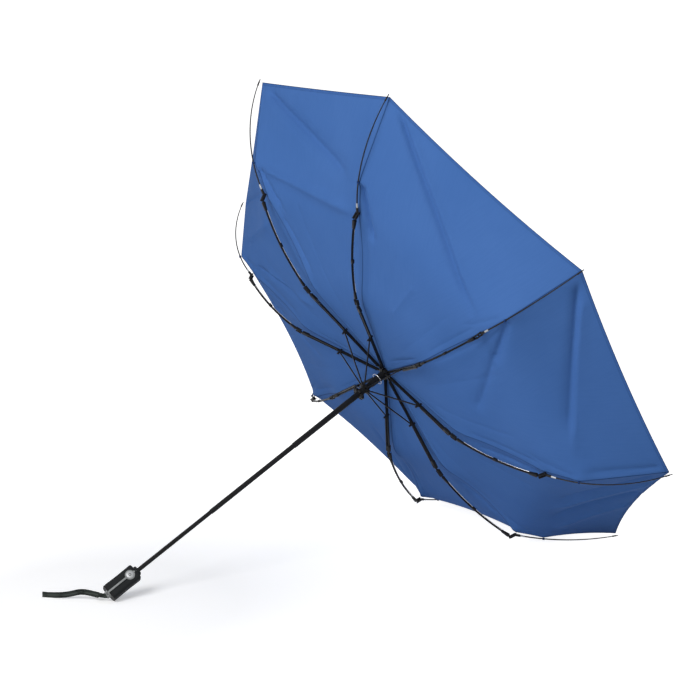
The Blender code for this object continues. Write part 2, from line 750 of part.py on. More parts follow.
def along_x(radius, start, end, height, steps=ROUND_STEPS):
    """A round bar along x at a height."""
    bm = bmesh.new()
    turn = Matrix.Translation(((start + end) / 2, 0, height)) @ Matrix.Rotation(math.radians(90), 4, "Y")
    bmesh.ops.create_cone(
        bm, cap_ends=True, segments=steps, radius1=radius, radius2=radius, depth=end - start, matrix=turn
    )
    return mesh_from(bm)


def grip_mesh():
    """Grip, with z = 0 at its shoulder and its front towards +X: body, stepped neck, pocket and groove."""
    foot = -GRIP_LENGTH + END_CAP_HEIGHT + GAP
    shoulder = GRIP_SHOULDER
    edge = GRIP_SHOULDER / 2
    body = stacked(
        [
            (foot, GRIP_DEPTH - edge, GRIP_WIDTH - edge, GRIP_CORNER - edge / 2),
            (foot + shoulder / 2, GRIP_DEPTH, GRIP_WIDTH, GRIP_CORNER),
            (-GRIP_LENGTH / 2, GRIP_DEPTH - GRIP_WAIST, GRIP_WIDTH - GRIP_WAIST, GRIP_CORNER),
            (-shoulder, GRIP_DEPTH, GRIP_WIDTH, GRIP_CORNER),
            (-shoulder / 4, GRIP_DEPTH - edge, GRIP_WIDTH - edge, GRIP_CORNER - edge / 2),
            (0, GRIP_DEPTH - shoulder, GRIP_WIDTH - shoulder, GRIP_CORNER - edge),
            (GAP, NECK_DEPTH, NECK_WIDTH, GRIP_CORNER),
            (NECK_LENGTH - edge, NECK_DEPTH, NECK_WIDTH, GRIP_CORNER),
            (NECK_LENGTH, NECK_DEPTH - edge, NECK_WIDTH - edge, GRIP_CORNER - edge / 2),
        ]
    )
    return without(body, grip_cutters())


def grip_cutters():
    """What the grip is hollowed for: the tube, the inlay's ring and line, and the button's pocket."""
    radius = LOWER_TUBE_RADIUS + GAP
    low = -LOWER_TUBE_SEAT - GAP
    high = NECK_LENGTH + OVERRUN
    yield turned([(0, low), (radius, low), (radius, high), (0, high)])
    front = GRIP_DEPTH / 2
    inlay_floor = front - INLAY_DEPTH - GAP
    pocket_floor = front - BUTTON_SKIRT - BUTTON_TRAVEL - 2 * GAP
    yield along_x(INLAY_RING_RADIUS + GAP, inlay_floor, front + OVERRUN, -BUTTON_DROP)
    yield along_x(BUTTON_RADIUS + GAP, pocket_floor, front + OVERRUN, -BUTTON_DROP)
    half_line = INLAY_LINE_WIDTH / 2 + GAP
    yield box((inlay_floor, -half_line, -GRIP_LENGTH), (front + OVERRUN, half_line, -BUTTON_DROP))


def lug_mesh():
    """Lug that holds the strap: a round pad in the foot, two ears and the bar between them."""
    foot = -GRIP_LENGTH
    bar_height = foot - LUG_STAND
    near = STRAP_WIDTH / 2 + GAP
    far = near + LUG_WALL
    half = LUG_DEPTH / 2
    pad = turned(
        [
            (0, foot),
            (LUG_PAD_RADIUS, foot),
            (LUG_PAD_RADIUS, foot + INLAY_DEPTH),
            (0, foot + INLAY_DEPTH),
        ]
    )
    for side in (-1, 1):
        corners = sorted((side * near, side * far))
        block = box((corners[0], -half, bar_height), (corners[1], half, foot + INLAY_DEPTH / 2))
        rounded = along_x(half, corners[0], corners[1], bar_height)
        pad = combined(pad, combined(block, rounded, "UNION"), "UNION")
    pad = combined(pad, along_x(LUG_BAR_RADIUS, -far + GAP, far - GAP, bar_height), "UNION")
    pad.transform(Matrix.Rotation(math.radians(180 - GRIP_TURN), 4, "Z"))
    return pad


def inlay_mesh():
    """Inlay: a ring round the button, a line down the front and under the foot, and the lug at its end."""
    front = GRIP_DEPTH / 2
    floor = front - INLAY_DEPTH
    face = front + INLAY_PROUD
    foot = -GRIP_LENGTH
    half_line = INLAY_LINE_WIDTH / 2
    ring = along_x(INLAY_RING_RADIUS, floor, face, -BUTTON_DROP)
    line = box((floor, -half_line, foot), (face, half_line, -BUTTON_DROP - BUTTON_RADIUS - GAP))
    strip = box((LUG_BAR_RADIUS, -half_line, foot), (front, half_line, foot + INLAY_DEPTH))
    joined = combined(combined(ring, line, "UNION"), combined(strip, lug_mesh(), "UNION"), "UNION")
    bore = along_x(BUTTON_RADIUS + GAP, floor - OVERRUN, face + OVERRUN, -BUTTON_DROP)
    return combined(joined, bore, "DIFFERENCE")


def button_mesh():
    """Button: a short skirt in its pocket and a low dome, with z as the direction it is pressed along."""
    rim = BUTTON_DOME / 3
    arc = [math.radians(90 * step / 4) for step in range(5)]
    dome = [(BUTTON_RADIUS * math.cos(a), rim + (BUTTON_DOME - rim) * math.sin(a)) for a in arc]
    mesh = turned([(0, -BUTTON_SKIRT), (BUTTON_RADIUS, -BUTTON_SKIRT), *dome[:-1], (0, BUTTON_DOME)])
    mesh.transform(Matrix.Rotation(math.radians(90), 4, "Y"))
    return mesh


def end_cap_mesh():
    """Foot plate of the grip, with the channel and the round seat of the inlay."""
    foot = -GRIP_LENGTH
    step = END_CAP_STEP
    body = stacked(
        [
            (foot, GRIP_DEPTH - 2 * step, GRIP_WIDTH - 2 * step, GRIP_CORNER - step),
            (foot + step, GRIP_DEPTH, GRIP_WIDTH, GRIP_CORNER),
            (foot + END_CAP_HEIGHT - step, GRIP_DEPTH, GRIP_WIDTH, GRIP_CORNER),
            (foot + END_CAP_HEIGHT, GRIP_DEPTH - step, GRIP_WIDTH - step, GRIP_CORNER - step / 2),
        ]
    )
    depth = foot + INLAY_DEPTH + GAP
    half_line = INLAY_LINE_WIDTH / 2 + GAP
    front = GRIP_DEPTH / 2
    seat = turned(
        [
            (0, foot - OVERRUN),
            (LUG_PAD_RADIUS + GAP, foot - OVERRUN),
            (LUG_PAD_RADIUS + GAP, depth),
            (0, depth),
        ]
    )
    under = box((0, -half_line, foot - OVERRUN), (front + OVERRUN, half_line, depth))
    top = foot + END_CAP_HEIGHT + OVERRUN
    beside = box((front - INLAY_DEPTH - GAP, -half_line, foot), (front + OVERRUN, half_line, top))
    return without(body, [seat, under, beside])


def make_grip(frames, finishes):
    grip = frames["grip"]
    add_piece("grip", grip_mesh(), finishes["rubber"], grip)
    add_piece("trim_inlay", inlay_mesh(), finishes["grey"], grip)
    add_piece("end_cap", end_cap_mesh(), finishes["plastic"], grip)
    seat = Matrix.Translation((GRIP_DEPTH / 2, 0, -BUTTON_DROP))
    add_piece("button", button_mesh(), finishes["silver"], grip, seat)


def strap_section(point, direction, width_line, half_width, half_thickness):
    """Eight corners of the webbing's section, rounded at its edges."""
    across = direction.cross(width_line).normalized() * half_thickness
    up = across.cross(direction).normalized() * half_width
    upper = [(1, 0.8), (0.5, 1), (-0.5, 1), (-1, 0.8)]
    lower = [(-side, -rise) for side, rise in upper]
    return [point + across * side + up * rise for side, rise in upper + lower]


def strap_rings(route, bar_line):
    """Sections of the webbing along its route: flat round the lug's bar and soon turned on edge."""
    last = len(route) - 1
    narrowed = {0: (0.72, 0.8), 1: (0.94, 1), last: (0.9, 0.5)}
    for index, point in enumerate(route):
        direction = (route[min(index + 1, last)] - route[max(index - 1, 0)]).normalized()
        turned_up = min(1, point.xy.length / STRAP_TWIST_LENGTH)
        width_line = bar_line.lerp(Vector((0, 0, 1)), turned_up)
        width_share, thickness_share = narrowed.get(index, (1, 1))
        half_width = STRAP_WIDTH / 2 * width_share
        half_thickness = STRAP_THICKNESS / 2 * thickness_share
        yield strap_section(point, direction, width_line, half_width, half_thickness)


def strap_mesh(bar, bar_line):
    """The webbing and its eye, relative to the lug's bar, whose direction is bar_line."""
    heading = math.radians(STRAP_HEADING)
    along = Vector((math.cos(heading), math.sin(heading), 0))
    upright = Vector((0, 0, 1))
    route = [Vector((0, 0, 0))]
    for reach, lift in STRAP_ROUTE:
        route.append(along * reach + upright * (STRAP_FLOOR_GAP + lift + STRAP_WIDTH / 2 - bar.z))
    band = through_rings(strap_rings(route, bar_line))
    turn = bar_line.to_track_quat("X", "Z").to_matrix().to_4x4()
    eye = along_x(STRAP_EYE_RADIUS, -STRAP_WIDTH / 2, STRAP_WIDTH / 2, 0)
    hole = along_x(LUG_BAR_RADIUS + GAP, -STRAP_WIDTH, STRAP_WIDTH, 0)
    eye.transform(turn)
    hole.transform(turn)
    return combined(combined(band, eye, "UNION"), hole, "DIFFERENCE")


def lowest_point(pieces, tilt):
    """The lowest corner of the given pieces when the shaft stands at an angle above the floor."""
    bpy.context.view_layer.update()
    turn = Matrix.Rotation(math.radians(90) - tilt, 4, "Y")
    corners = [turn @ piece.matrix_world @ vertex.co for piece in pieces for vertex in piece.data.vertices]
    return min(corners, key=lambda corner: corner.z)


def resting_tilt():
    """Angle of the shaft above the floor at which the grip's foot and the rib tips touch it together."""
    objects = bpy.data.objects
    grip = [objects["grip"], objects["end_cap"]]
    tips = [objects[f"outer_rib_{number}"] for number in RIBS_ON_FLOOR]
    tilt = 0.5
    for _ in range(TILT_ROUNDS):
        low_grip = lowest_point(grip, tilt)
        low_tip = lowest_point(tips, tilt)
        run = math.hypot(low_tip.x - low_grip.x, low_tip.z - low_grip.z)
        tilt += math.asin((low_grip.z - low_tip.z) / run)
    return tilt


def world_corners():
    """All corners of the finished pieces, in the world."""
    bpy.context.view_layer.update()
    for piece in bpy.data.objects:
        if piece.type == "MESH":
            for vertex in piece.data.vertices:
                yield piece.matrix_world @ vertex.co


def make_finishes():
    """Every finish of the umbrella, by the name of its material."""
    return {
        "steel": material("black_steel", (0.012, 0.012, 0.013), 0.35, 0.6),
        "plastic": material("black_plastic", (0.010, 0.010, 0.011), 0.45),
        "rubber": material("rubber", (0.014, 0.014, 0.016), 0.75),
        "grey": material("grey_plastic", (0.30, 0.31, 0.32), 0.45),
        "silver": material("silver_paint", (0.62, 0.63, 0.64), 0.30, 0.7),
        "webbing": material("webbing", (0.020, 0.024, 0.022), 0.85),
        "glass_fibre": material("glass_fibre", (0.018, 0.018, 0.020), 0.40),
        "cloth": material("blue_cloth", (0.060, 0.150, 0.400), 0.70),
    }


def make_frames():
    """Empties that carry the pieces: the ground, the shaft, and the runner and the grip on the shaft."""
    ground = add_empty("ground", None, Matrix.Identity(4))
    shaft = add_empty("shaft_frame", ground, Matrix.Identity(4))
    shoulder = Matrix.Translation((0, 0, GRIP_LENGTH - SHAFT_LENGTH))
    facing = Matrix.Rotation(math.radians(GRIP_TURN), 4, "Z")
    return {
        "ground": ground,
        "shaft": shaft,
        "runner": add_empty("runner_frame", shaft, Matrix.Translation((0, 0, -RUNNER_DROP))),
        "grip": add_empty("grip_frame", shaft, shoulder @ facing),
    }


def lay_down(shaft):
    """Tilts the shaft until the umbrella rests on its grip and two rib tips, and sets it on the floor."""
    shaft.matrix_local = Matrix.Rotation(math.radians(90) - resting_tilt(), 4, "Y")
    floor = min(corner.z for corner in world_corners())
    shaft.matrix_local = Matrix.Translation((0, 0, -floor)) @ shaft.matrix_local
    bpy.context.view_layer.update()


def make_strap(frames, webbing):
    shaft = frames["shaft"].matrix_world
    bar = shaft @ Vector((0, 0, -SHAFT_LENGTH - LUG_STAND))
    mesh = strap_mesh(bar, shaft.to_3x3() @ Vector((-1, 0, 0)))
    add_piece("wrist_strap", mesh, webbing, frames["ground"], Matrix.Translation(bar))


def centre_on_floor(ground):
    """Moves everything sideways until the middle of the whole is above the world's origin."""
    corners = list(world_corners())
    middles = []
    for axis in range(2):
        places = [corner[axis] for corner in corners]
        middles.append((min(places) + max(places)) / 2)
    ground.location = (-middles[0], -middles[1], 0)


def main():
    for old in list(bpy.data.objects):
        bpy.data.objects.remove(old)
    finishes = make_finishes()
    frames = make_frames()
    make_tubes(frames, finishes["steel"])
    make_notch(frames, finishes["plastic"])
    make_cap(frames, finishes["plastic"])
    make_runner(frames, finishes["plastic"])
    make_ribs(frames, finishes)
    make_grip(frames, finishes)
    lay_down(frames["shaft"])
    make_strap(frames, finishes["webbing"])
    make_canopy(frames, finishes["cloth"])
    centre_on_floor(frames["ground"])


main()
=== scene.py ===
# %% [markdown]
# # A windproof umbrella, blown inside out
# A compact umbrella lies on the foot of its grip and on two rib tips, with its cloth turned inside out.
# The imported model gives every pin, tube and rib at its real size. This notebook dresses it: cloth with
# its creases, bowed rods and ribs, webbing, rubber, and the small fittings along the ribs. Loading the
# model first means that each new piece can be placed from the model's own pins.

# %% Load the frame
import json
import math

import bmesh
import bpy
import numpy as np
from mathutils import Matrix, Vector


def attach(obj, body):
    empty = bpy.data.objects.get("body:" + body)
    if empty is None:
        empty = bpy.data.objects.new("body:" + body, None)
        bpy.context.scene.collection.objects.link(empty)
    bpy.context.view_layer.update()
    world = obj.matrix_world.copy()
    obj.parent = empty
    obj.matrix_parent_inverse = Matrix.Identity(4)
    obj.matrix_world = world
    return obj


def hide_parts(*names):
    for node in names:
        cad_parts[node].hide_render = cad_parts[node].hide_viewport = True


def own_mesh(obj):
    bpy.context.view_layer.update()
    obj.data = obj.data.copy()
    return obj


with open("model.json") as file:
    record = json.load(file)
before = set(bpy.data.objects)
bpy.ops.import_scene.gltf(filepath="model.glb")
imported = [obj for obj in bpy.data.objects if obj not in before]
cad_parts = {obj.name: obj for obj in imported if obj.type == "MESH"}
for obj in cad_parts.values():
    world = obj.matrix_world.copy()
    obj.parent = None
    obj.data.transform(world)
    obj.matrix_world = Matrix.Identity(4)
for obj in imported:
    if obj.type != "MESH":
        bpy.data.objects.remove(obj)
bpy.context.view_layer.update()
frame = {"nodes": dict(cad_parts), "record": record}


def new_object(name, data):
    made = bpy.data.objects.new(name, data)
    bpy.context.scene.collection.objects.link(made)
    return made


print("frame loaded:", len(frame["nodes"]), "nodes")

# %% [markdown]
# ## Where the pins are
# Every hinge of the umbrella is a joint in the model, with a place and an axis. A rib's plane holds the
# shaft and all of that rib's pins, so two directions describe it: outward from the shaft, and up along
# it. Reading them from the joints keeps cloth and ribs together if a size changes in the model.

# %% Pins and directions of each rib
joints = {joint["name"]: joint for joint in frame["record"]["behaviour"]["joints"]}
RIBS = range(1, 9)
FLOOR_RIBS = (5, 6)


def pin(name):
    return Vector(joints[name]["pos_m"])


def fold_name(number):
    return "fold" if number == 1 else f"fold_top_rib_{number}"


shaft_up = -Vector(joints["top_tube_slide"]["axis"]).normalized()
hub = sum((pin(fold_name(number)) for number in RIBS), Vector()) / len(RIBS)
outward = {number: (pin(fold_name(number)) - hub).normalized() for number in RIBS}
sideways = {number: shaft_up.cross(outward[number]).normalized() for number in RIBS}
lean = math.degrees(math.asin(shaft_up.z))
print("hub at", [round(x, 4) for x in hub], "and the shaft leans", round(lean, 1), "degrees")

# %% [markdown]
# ### Flat places in a rib's plane
# Working flat is easier than working in space. These helpers turn a place into (outward, up) and back,
# and collect each rib's pins in that form, from the hub to the tip.

# %% Each rib's chain of pins


def in_plane(number, point):
    """(outward, up) of a point in a rib's plane, measured from the hub."""
    offset = Vector(point) - hub
    return Vector((offset.dot(outward[number]), offset.dot(shaft_up)))


def from_plane(number, flat, side=0.0):
    """The place in space of an (outward, up) point of a rib's plane, moved sideways."""
    return hub + outward[number] * flat[0] + shaft_up * flat[1] + sideways[number] * side


def direction_of(number, flat):
    """The direction in space of an (outward, up) direction of a rib's plane."""
    return outward[number] * flat[0] + shaft_up * flat[1]


def above(start, end, reach, rise=0.0):
    """The flat point reach metres along from start to end, raised to the cloth's side."""
    along = (end - start).normalized()
    return start + along * reach + Vector((-along.y, along.x)) * rise


def tip_of(number):
    """End of the outer rib: the corner of its solid that is furthest from its hinge."""
    hinge = pin(f"flip_outer_rib_{number}")
    corners = (vertex.co for vertex in frame["nodes"][f"outer_rib_{number}"].data.vertices)
    return max(corners, key=lambda corner: (corner - hinge).length)


chain = {}
for number in RIBS:
    pins = {
        "top": pin(fold_name(number)),
        "stretcher": pin(f"fold_stretcher_{number}"),
        "inner": pin(f"fold_inner_bracket_{number}"),
        "middle": pin("wind_flip" if number == 1 else f"flip_middle_rib_{number}"),
        "outer": pin(f"fold_outer_bracket_{number}"),
        "rod": pin(f"flip_outer_rib_{number}"),
        "tip": tip_of(number),
    }
    chain[number] = {name: in_plane(number, place) for name, place in pins.items()}
print("rod from hinge to tip:", round((chain[1]["tip"] - chain[1]["rod"]).length, 4), "m")

# %% [markdown]
# ## Camera
# The photograph was taken with a long lens from a little above the handle's side. The camera's place was
# found by matching the hub, the brackets and the rib tips with the same points in the photograph.

# %% Camera
camera_data = bpy.data.cameras.new("camera")
camera_data.sensor_width = 36.0
camera_data.lens = 105.6
camera_data.clip_end = 200
camera = new_object("camera", camera_data)
camera_from_hub = Vector((-2.360, -3.338, 0.8727))
pitch, yaw = math.radians(11.41), math.radians(-34.27)
camera.matrix_world = (
    Matrix.Translation(hub + camera_from_hub)
    @ Matrix.Rotation(yaw, 4, "Z")
    @ Matrix.Rotation(math.radians(90) - pitch, 4, "X")
)
bpy.context.scene.camera = camera
print("camera at", [round(x, 3) for x in camera.matrix_world.translation])

# %% [markdown]
# ## Light and floor
# A studio packshot has large soft lamps and a white sweep. The lamps give the cloth its gentle shading.
# Rays that go straight to the world, or come from a shiny piece, meet a full white; the others meet a
# weaker one, so that the background is bright and the shadows on the umbrella still show.

# %% Lamps


def add_lamp(name, place, target, size, power):
    data = bpy.data.lights.new(name, "AREA")
    data.shape = "DISK"
    data.size = size
    data.energy = power
    lamp = new_object(name, data)
    lamp.location = place
    lamp.rotation_euler = (Vector(target) - Vector(place)).to_track_quat("-Z", "Y").to_euler()


add_lamp("key_lamp", (-2.9, -1.1, 2.5), (0.2, 0, 0.45), 2.0, 96)
add_lamp("fill_lamp", (-3.0, -1.8, 0.7), (0.1, 0, 0.4), 2.4, 36)
add_lamp("top_lamp", (0.6, 0.6, 3.4), (0, 0, 0.3), 2.4, 8)
print("three lamps")

# %% [markdown]
# ### Rays that see white
# The Light Path node tells a shader which kind of ray is asking. World and floor both use the same few
# nodes, which give 1 to camera, glossy and transmission rays and 0 to the others.

# %% World


def white_rays(nodes, links):
    """Socket that is 1 for camera, glossy and transmission rays."""
    rays = nodes.new("ShaderNodeLightPath")
    level = rays.outputs["Is Camera Ray"]
    for name in ("Is Glossy Ray", "Is Transmission Ray"):
        larger = nodes.new("ShaderNodeMath")
        larger.operation = "MAXIMUM"
        links.new(level, larger.inputs[0])
        links.new(rays.outputs[name], larger.inputs[1])
        level = larger.outputs[0]
    return level


world = bpy.data.worlds.new("studio")
bpy.context.scene.world = world
world.use_nodes = True
nodes, links = world.node_tree.nodes, world.node_tree.links
strength = nodes.new("ShaderNodeMapRange")
strength.inputs["To Min"].default_value = 0.2
strength.inputs["To Max"].default_value = 1.0
links.new(white_rays(nodes, links), strength.inputs["Value"])
nodes["Background"].inputs["Color"].default_value = (1, 1, 1, 1)
links.new(strength.outputs[0], nodes["Background"].inputs["Strength"])
bpy.context.scene.view_settings.view_transform = "Standard"
print("white world")

# %% [markdown]
# ### The sweep
# The lamps light the floor around the umbrella and leave it dark far away. So the floor glows a little:
# not much round the grip, where its shadow has to show, more under the canopy and fully in the
# distance.

# %% Floor
GLOW_NEAR, GLOW_FAR = 0.36, 1.0
grip_foot = pin("strap_swing")


def floor_material():
    made = bpy.data.materials.new("floor")
    made.use_nodes = True
    nodes, links = made.node_tree.nodes, made.node_tree.links
    nodes.clear()
    place = nodes.new("ShaderNodeTexCoord")
    distance = nodes.new("ShaderNodeVectorMath")
    distance.operation = "DISTANCE"
    distance.inputs[1].default_value = grip_foot
    links.new(place.outputs["Object"], distance.inputs[0])
    glow_level = nodes.new("ShaderNodeMapRange")
    for name, value in (("From Min", 0.25), ("From Max", 1.1), ("To Min", GLOW_NEAR), ("To Max", GLOW_FAR)):
        glow_level.inputs[name].default_value = value
    links.new(distance.outputs["Value"], glow_level.inputs["Value"])
    paint = nodes.new("ShaderNodeBsdfDiffuse")
    paint.inputs["Color"].default_value = (0.82, 0.82, 0.82, 1)
    glow = nodes.new("ShaderNodeEmission")
    links.new(glow_level.outputs[0], glow.inputs["Strength"])
    both = nodes.new("ShaderNodeAddShader")
    links.new(paint.outputs[0], both.inputs[0])
    links.new(glow.outputs[0], both.inputs[1])
    mix = nodes.new("ShaderNodeMixShader")
    links.new(white_rays(nodes, links), mix.inputs["Fac"])
    links.new(paint.outputs[0], mix.inputs[1])
    links.new(both.outputs[0], mix.inputs[2])
    out = nodes.new("ShaderNodeOutputMaterial")
    links.new(mix.outputs[0], out.inputs["Surface"])
    return made


sweep = bmesh.new()
bmesh.ops.create_grid(sweep, x_segments=1, y_segments=1, size=80)
floor_mesh = bpy.data.meshes.new("floor")
sweep.to_mesh(floor_mesh)
sweep.free()
floor = new_object("floor", floor_mesh)
floor_mesh.materials.append(floor_material())
print("floor laid at z = 0")

# %% [markdown]
# ## Helpers for materials
# A finish here is a Principled shader whose colour, roughness and bump come from procedural textures,
# read in Object coordinates, or from the piece's own UV map where a weave has to follow the cloth.

# %% Material helpers


class Finish:
    """A Principled material and short ways to add nodes to it."""

    def __init__(self, name, roughness, metallic=0.0, specular=0.5):
        self.material = bpy.data.materials.new(name)
        self.material.use_nodes = True
        self.tree = self.material.node_tree
        self.shader = self.tree.nodes["Principled BSDF"]
        self.shader.inputs["Roughness"].default_value = roughness
        self.shader.inputs["Metallic"].default_value = metallic
        self.shader.inputs["Specular IOR Level"].default_value = specular

    def node(self, kind, **settings):
        made = self.tree.nodes.new(kind)
        for key, value in settings.items():
            if key in made.inputs:
                made.inputs[key].default_value = value
            else:
                setattr(made, key, value)
        return made

    def link(self, source, target):
        self.tree.links.new(source, target)

    def place(self, kind="Object"):
        return self.node("ShaderNodeTexCoord").outputs[kind]

    def noise(self, scale, detail=4.0, place=None):
        made = self.node("ShaderNodeTexNoise", Scale=scale, Detail=detail)
        self.link(place or self.place(), made.inputs["Vector"])
        return made.outputs["Fac"]

    def wave(self, scale, direction, place):
        made = self.node("ShaderNodeTexWave", Scale=scale, wave_type="BANDS", bands_direction=direction)
        self.link(place, made.inputs["Vector"])
        return made.outputs["Fac"]

    def sum_of(self, first, second, operation="ADD"):
        """One value from two, each a socket or a number."""
        made = self.node("ShaderNodeMath", operation=operation)
        for value, target in zip((first, second), made.inputs):
            if isinstance(value, (int, float)):
                target.default_value = value
            else:
                self.link(value, target)
        return made.outputs[0]

    def spread(self, value, low, high, start=0.0, end=1.0):
        """Map a value that runs from start to end onto low to high."""
        made = self.node("ShaderNodeMapRange")
        for name, number in (("From Min", start), ("From Max", end), ("To Min", low), ("To Max", high)):
            made.inputs[name].default_value = number
        self.link(value, made.inputs["Value"])
        return made.outputs[0]

    def mixed(self, share, low, high):
        """A colour between two, each a socket or a tuple."""
        made = self.node("ShaderNodeMix", data_type="RGBA")
        self.link(share, made.inputs["Factor"])
        for value, name in ((low, "A"), (high, "B")):
            if isinstance(value, tuple):
                made.inputs[name].default_value = (*value, 1)
            else:
                self.link(value, made.inputs[name])
        return made.outputs["Result"]

    def colour(self, value):
        self.link(value, self.shader.inputs["Base Color"])

    def roughness(self, value):
        self.link(value, self.shader.inputs["Roughness"])

    def bump(self, height, strength, distance):
        made = self.node("ShaderNodeBump", Strength=strength, Distance=distance)
        self.link(height, made.inputs["Height"])
        self.link(made.outputs[0], self.shader.inputs["Normal"])


print("material helpers ready")

# %% [markdown]
# ## Finishes of the frame
# The frame's finishes differ in a few numbers only, so a table holds them: the colours between which a
# cloudy noise moves, the range of roughness, how metallic it is, its specular level, and the grain and
# strength of its bump. The tubes and ribs are steel under a thin black coating; brackets, notch and
# runner are moulded plastic with a fine spark texture; and the grip has a rubber skin, the roughest of
# them.

# %% Finishes of the frame
# name: (dark colour, light colour, (lowest, highest roughness), metallic, specular, grain, bump)
FINISHES = {
    "black_coating": ((0.003, 0.003, 0.0035), (0.007, 0.007, 0.008), (0.30, 0.48), 0.0, 0.16, 1500, 0.12),
    "black_moulding": ((0.004, 0.004, 0.0045), (0.008, 0.008, 0.009), (0.38, 0.60), 0.0, 0.16, 2600, 0.20),
    "rubber_skin": ((0.006, 0.007, 0.008), (0.011, 0.012, 0.013), (0.55, 0.78), 0.0, 0.14, 3200, 0.35),
    "grey_moulding": ((0.17, 0.18, 0.18), (0.26, 0.27, 0.27), (0.32, 0.50), 0.0, 0.50, 2400, 0.12),
    "silver_lacquer": ((0.34, 0.35, 0.36), (0.46, 0.47, 0.48), (0.34, 0.48), 0.35, 0.50, 4000, 0.08),
    "bright_steel": ((0.48, 0.48, 0.49), (0.70, 0.70, 0.71), (0.20, 0.38), 0.85, 0.50, 3000, 0.06),
    "glass_fibre": ((0.004, 0.004, 0.005), (0.009, 0.009, 0.010), (0.30, 0.48), 0.0, 0.18, 1800, 0.10),
}


def frame_finish(name):
    dark, light, (low, high), metallic, specular, grain, bump = FINISHES[name]
    finish = Finish(name, (low + high) / 2, metallic, specular)
    finish.colour(finish.mixed(finish.spread(finish.noise(70), 0, 1, 0.3, 0.7), dark, light))
    finish.roughness(finish.spread(finish.noise(520), low, high))
    finish.bump(finish.noise(grain, 2), bump, 0.0002)
    return finish.material


COATING, MOULDING, RUBBER, GREY, SILVER, STEEL, FIBRE = (frame_finish(name) for name in FINISHES)
print(len(FINISHES), "finishes made")

# %% Finishes on the model's own pieces
coated = ["lower_tube", "middle_tube", "top_tube"]
moulded = ["end_cap", "runner", "top_notch", "top_cap"]
for number in RIBS:
    coated += [f"top_rib_{number}", f"middle_rib_{number}", f"stretcher_{number}"]
    moulded += [f"inner_bracket_{number}", f"outer_bracket_{number}"]
groups = (
    (coated, COATING), (moulded, MOULDING), (["grip"], RUBBER),
    (["trim_inlay"], GREY), (["button"], SILVER),
)
for nodes_of_group, finish in groups:
    for node in nodes_of_group:
        piece = frame["nodes"][node]
        piece.data.materials.clear()
        piece.data.materials.append(finish)
print(sum(len(group[0]) for group in groups), "pieces have their finish")

# %% [markdown]
# ## Placing pieces
# Every new piece ends as an object at the world's origin with its place in its mesh. It rides on one of
# the umbrella's bodies, so it follows when a rib folds.

# %% Placing pieces


def add_piece(name, bm, material, body, smooth_below=40):
    mesh = bpy.data.meshes.new(name)
    bmesh.ops.recalc_face_normals(bm, faces=bm.faces)
    bm.to_mesh(mesh)
    bm.free()
    mesh.materials.append(material)
    mesh.shade_smooth()
    mesh.set_sharp_from_angle(angle=math.radians(smooth_below))
    piece = new_object(name, mesh)
    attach(piece, body)
    return piece


def frame_along(start, end, side):
    """A matrix at start whose x runs to end and whose y is close to side."""
    x = (end - start).normalized()
    z = x.cross(side).normalized()
    y = z.cross(x)
    return Matrix.Translation(start) @ Matrix((x, y, z)).transposed().to_4x4()


def softened(bm, width, least_angle=0.6):
    """Round the edges whose faces meet at more than least_angle radians."""
    bm.normal_update()
    paired = [edge for edge in bm.edges if len(edge.link_faces) == 2]
    sharp = [edge for edge in paired if edge.calc_face_angle() > least_angle]
    bmesh.ops.bevel(
        bm, geom=sharp, affect="EDGES", offset=width, segments=2, profile=0.5, material=-1,
        clamp_overlap=True,
    )


print("placing helpers ready")

# %% [markdown]
# ## Bends
# Blown inside out, the cloth pulls the outer rods and the middle ribs into bows. A bow of constant bend
# is part of a circle, which is just what a spin makes: a small section is placed at one end of the arc
# and spun about the arc's centre. The class below only keeps the arc's numbers.

# %% Arcs in a rib's plane


class Arc:
    """A bow from start to end in a rib's plane, bent away from the cloth."""

    def __init__(self, start, end, bow):
        self.start, self.bow = start, bow
        self.length = (end - start).length
        self.along = (end - start).normalized()
        self.to_cloth = Vector((-self.along.y, self.along.x))
        self.radius = (self.length**2 / 4 + bow**2) / (2 * bow)
        self.centre = start + self.along * self.length / 2 + self.to_cloth * (self.radius - bow)

    def at(self, reach, rise=0.0):
        """Point that lies reach along the straight line and rise nearer the cloth than the arc."""
        drop = math.sqrt(self.radius**2 - (reach - self.length / 2) ** 2) - (self.radius - self.bow)
        point = self.start + self.along * reach - self.to_cloth * drop
        return point + (self.centre - point).normalized() * rise

    def turn(self, first, last):
        """Angle about the centre between two reaches."""
        half = self.length / 2
        return math.asin((last - half) / self.radius) - math.asin((first - half) / self.radius)


def arc_spot(number, arc, reach, rise=0.0, side=0.0):
    """Matrix on the arc: x to the cloth, y sideways, z along the arc."""
    place = from_plane(number, arc.at(reach, rise), side)
    return frame_along(place, from_plane(number, arc.centre, side), sideways[number])


def spun_along(bm, number, arc, first, last, steps):
    """Spin all of a section's faces along the arc from one reach to another."""
    bmesh.ops.spin(
        bm,
        geom=bm.verts[:] + bm.edges[:] + bm.faces[:],
        cent=from_plane(number, arc.centre),
        axis=-sideways[number],
        angle=arc.turn(first, last),
        steps=steps,
    )
    return bm


def round_bar(number, arc, first, last, radius, steps=24, rise=0.0, segments=10):
    bm = bmesh.new()
    spot = arc_spot(number, arc, first, rise)
    bmesh.ops.create_circle(bm, cap_ends=True, segments=segments, radius=radius, matrix=spot)
    return spun_along(bm, number, arc, first, last, steps)


def flat_bar(number, arc, first, last, width, depth, steps=24):
    bm = bmesh.new()
    spot = arc_spot(number, arc, first) @ Matrix.Diagonal((depth, width, 1, 1))
    bmesh.ops.create_grid(bm, x_segments=1, y_segments=1, size=0.5, matrix=spot)
    return spun_along(bm, number, arc, first, last, steps)


def straighten(piece):
    """Give a bowed piece its own copy of its mesh."""
    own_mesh(piece)


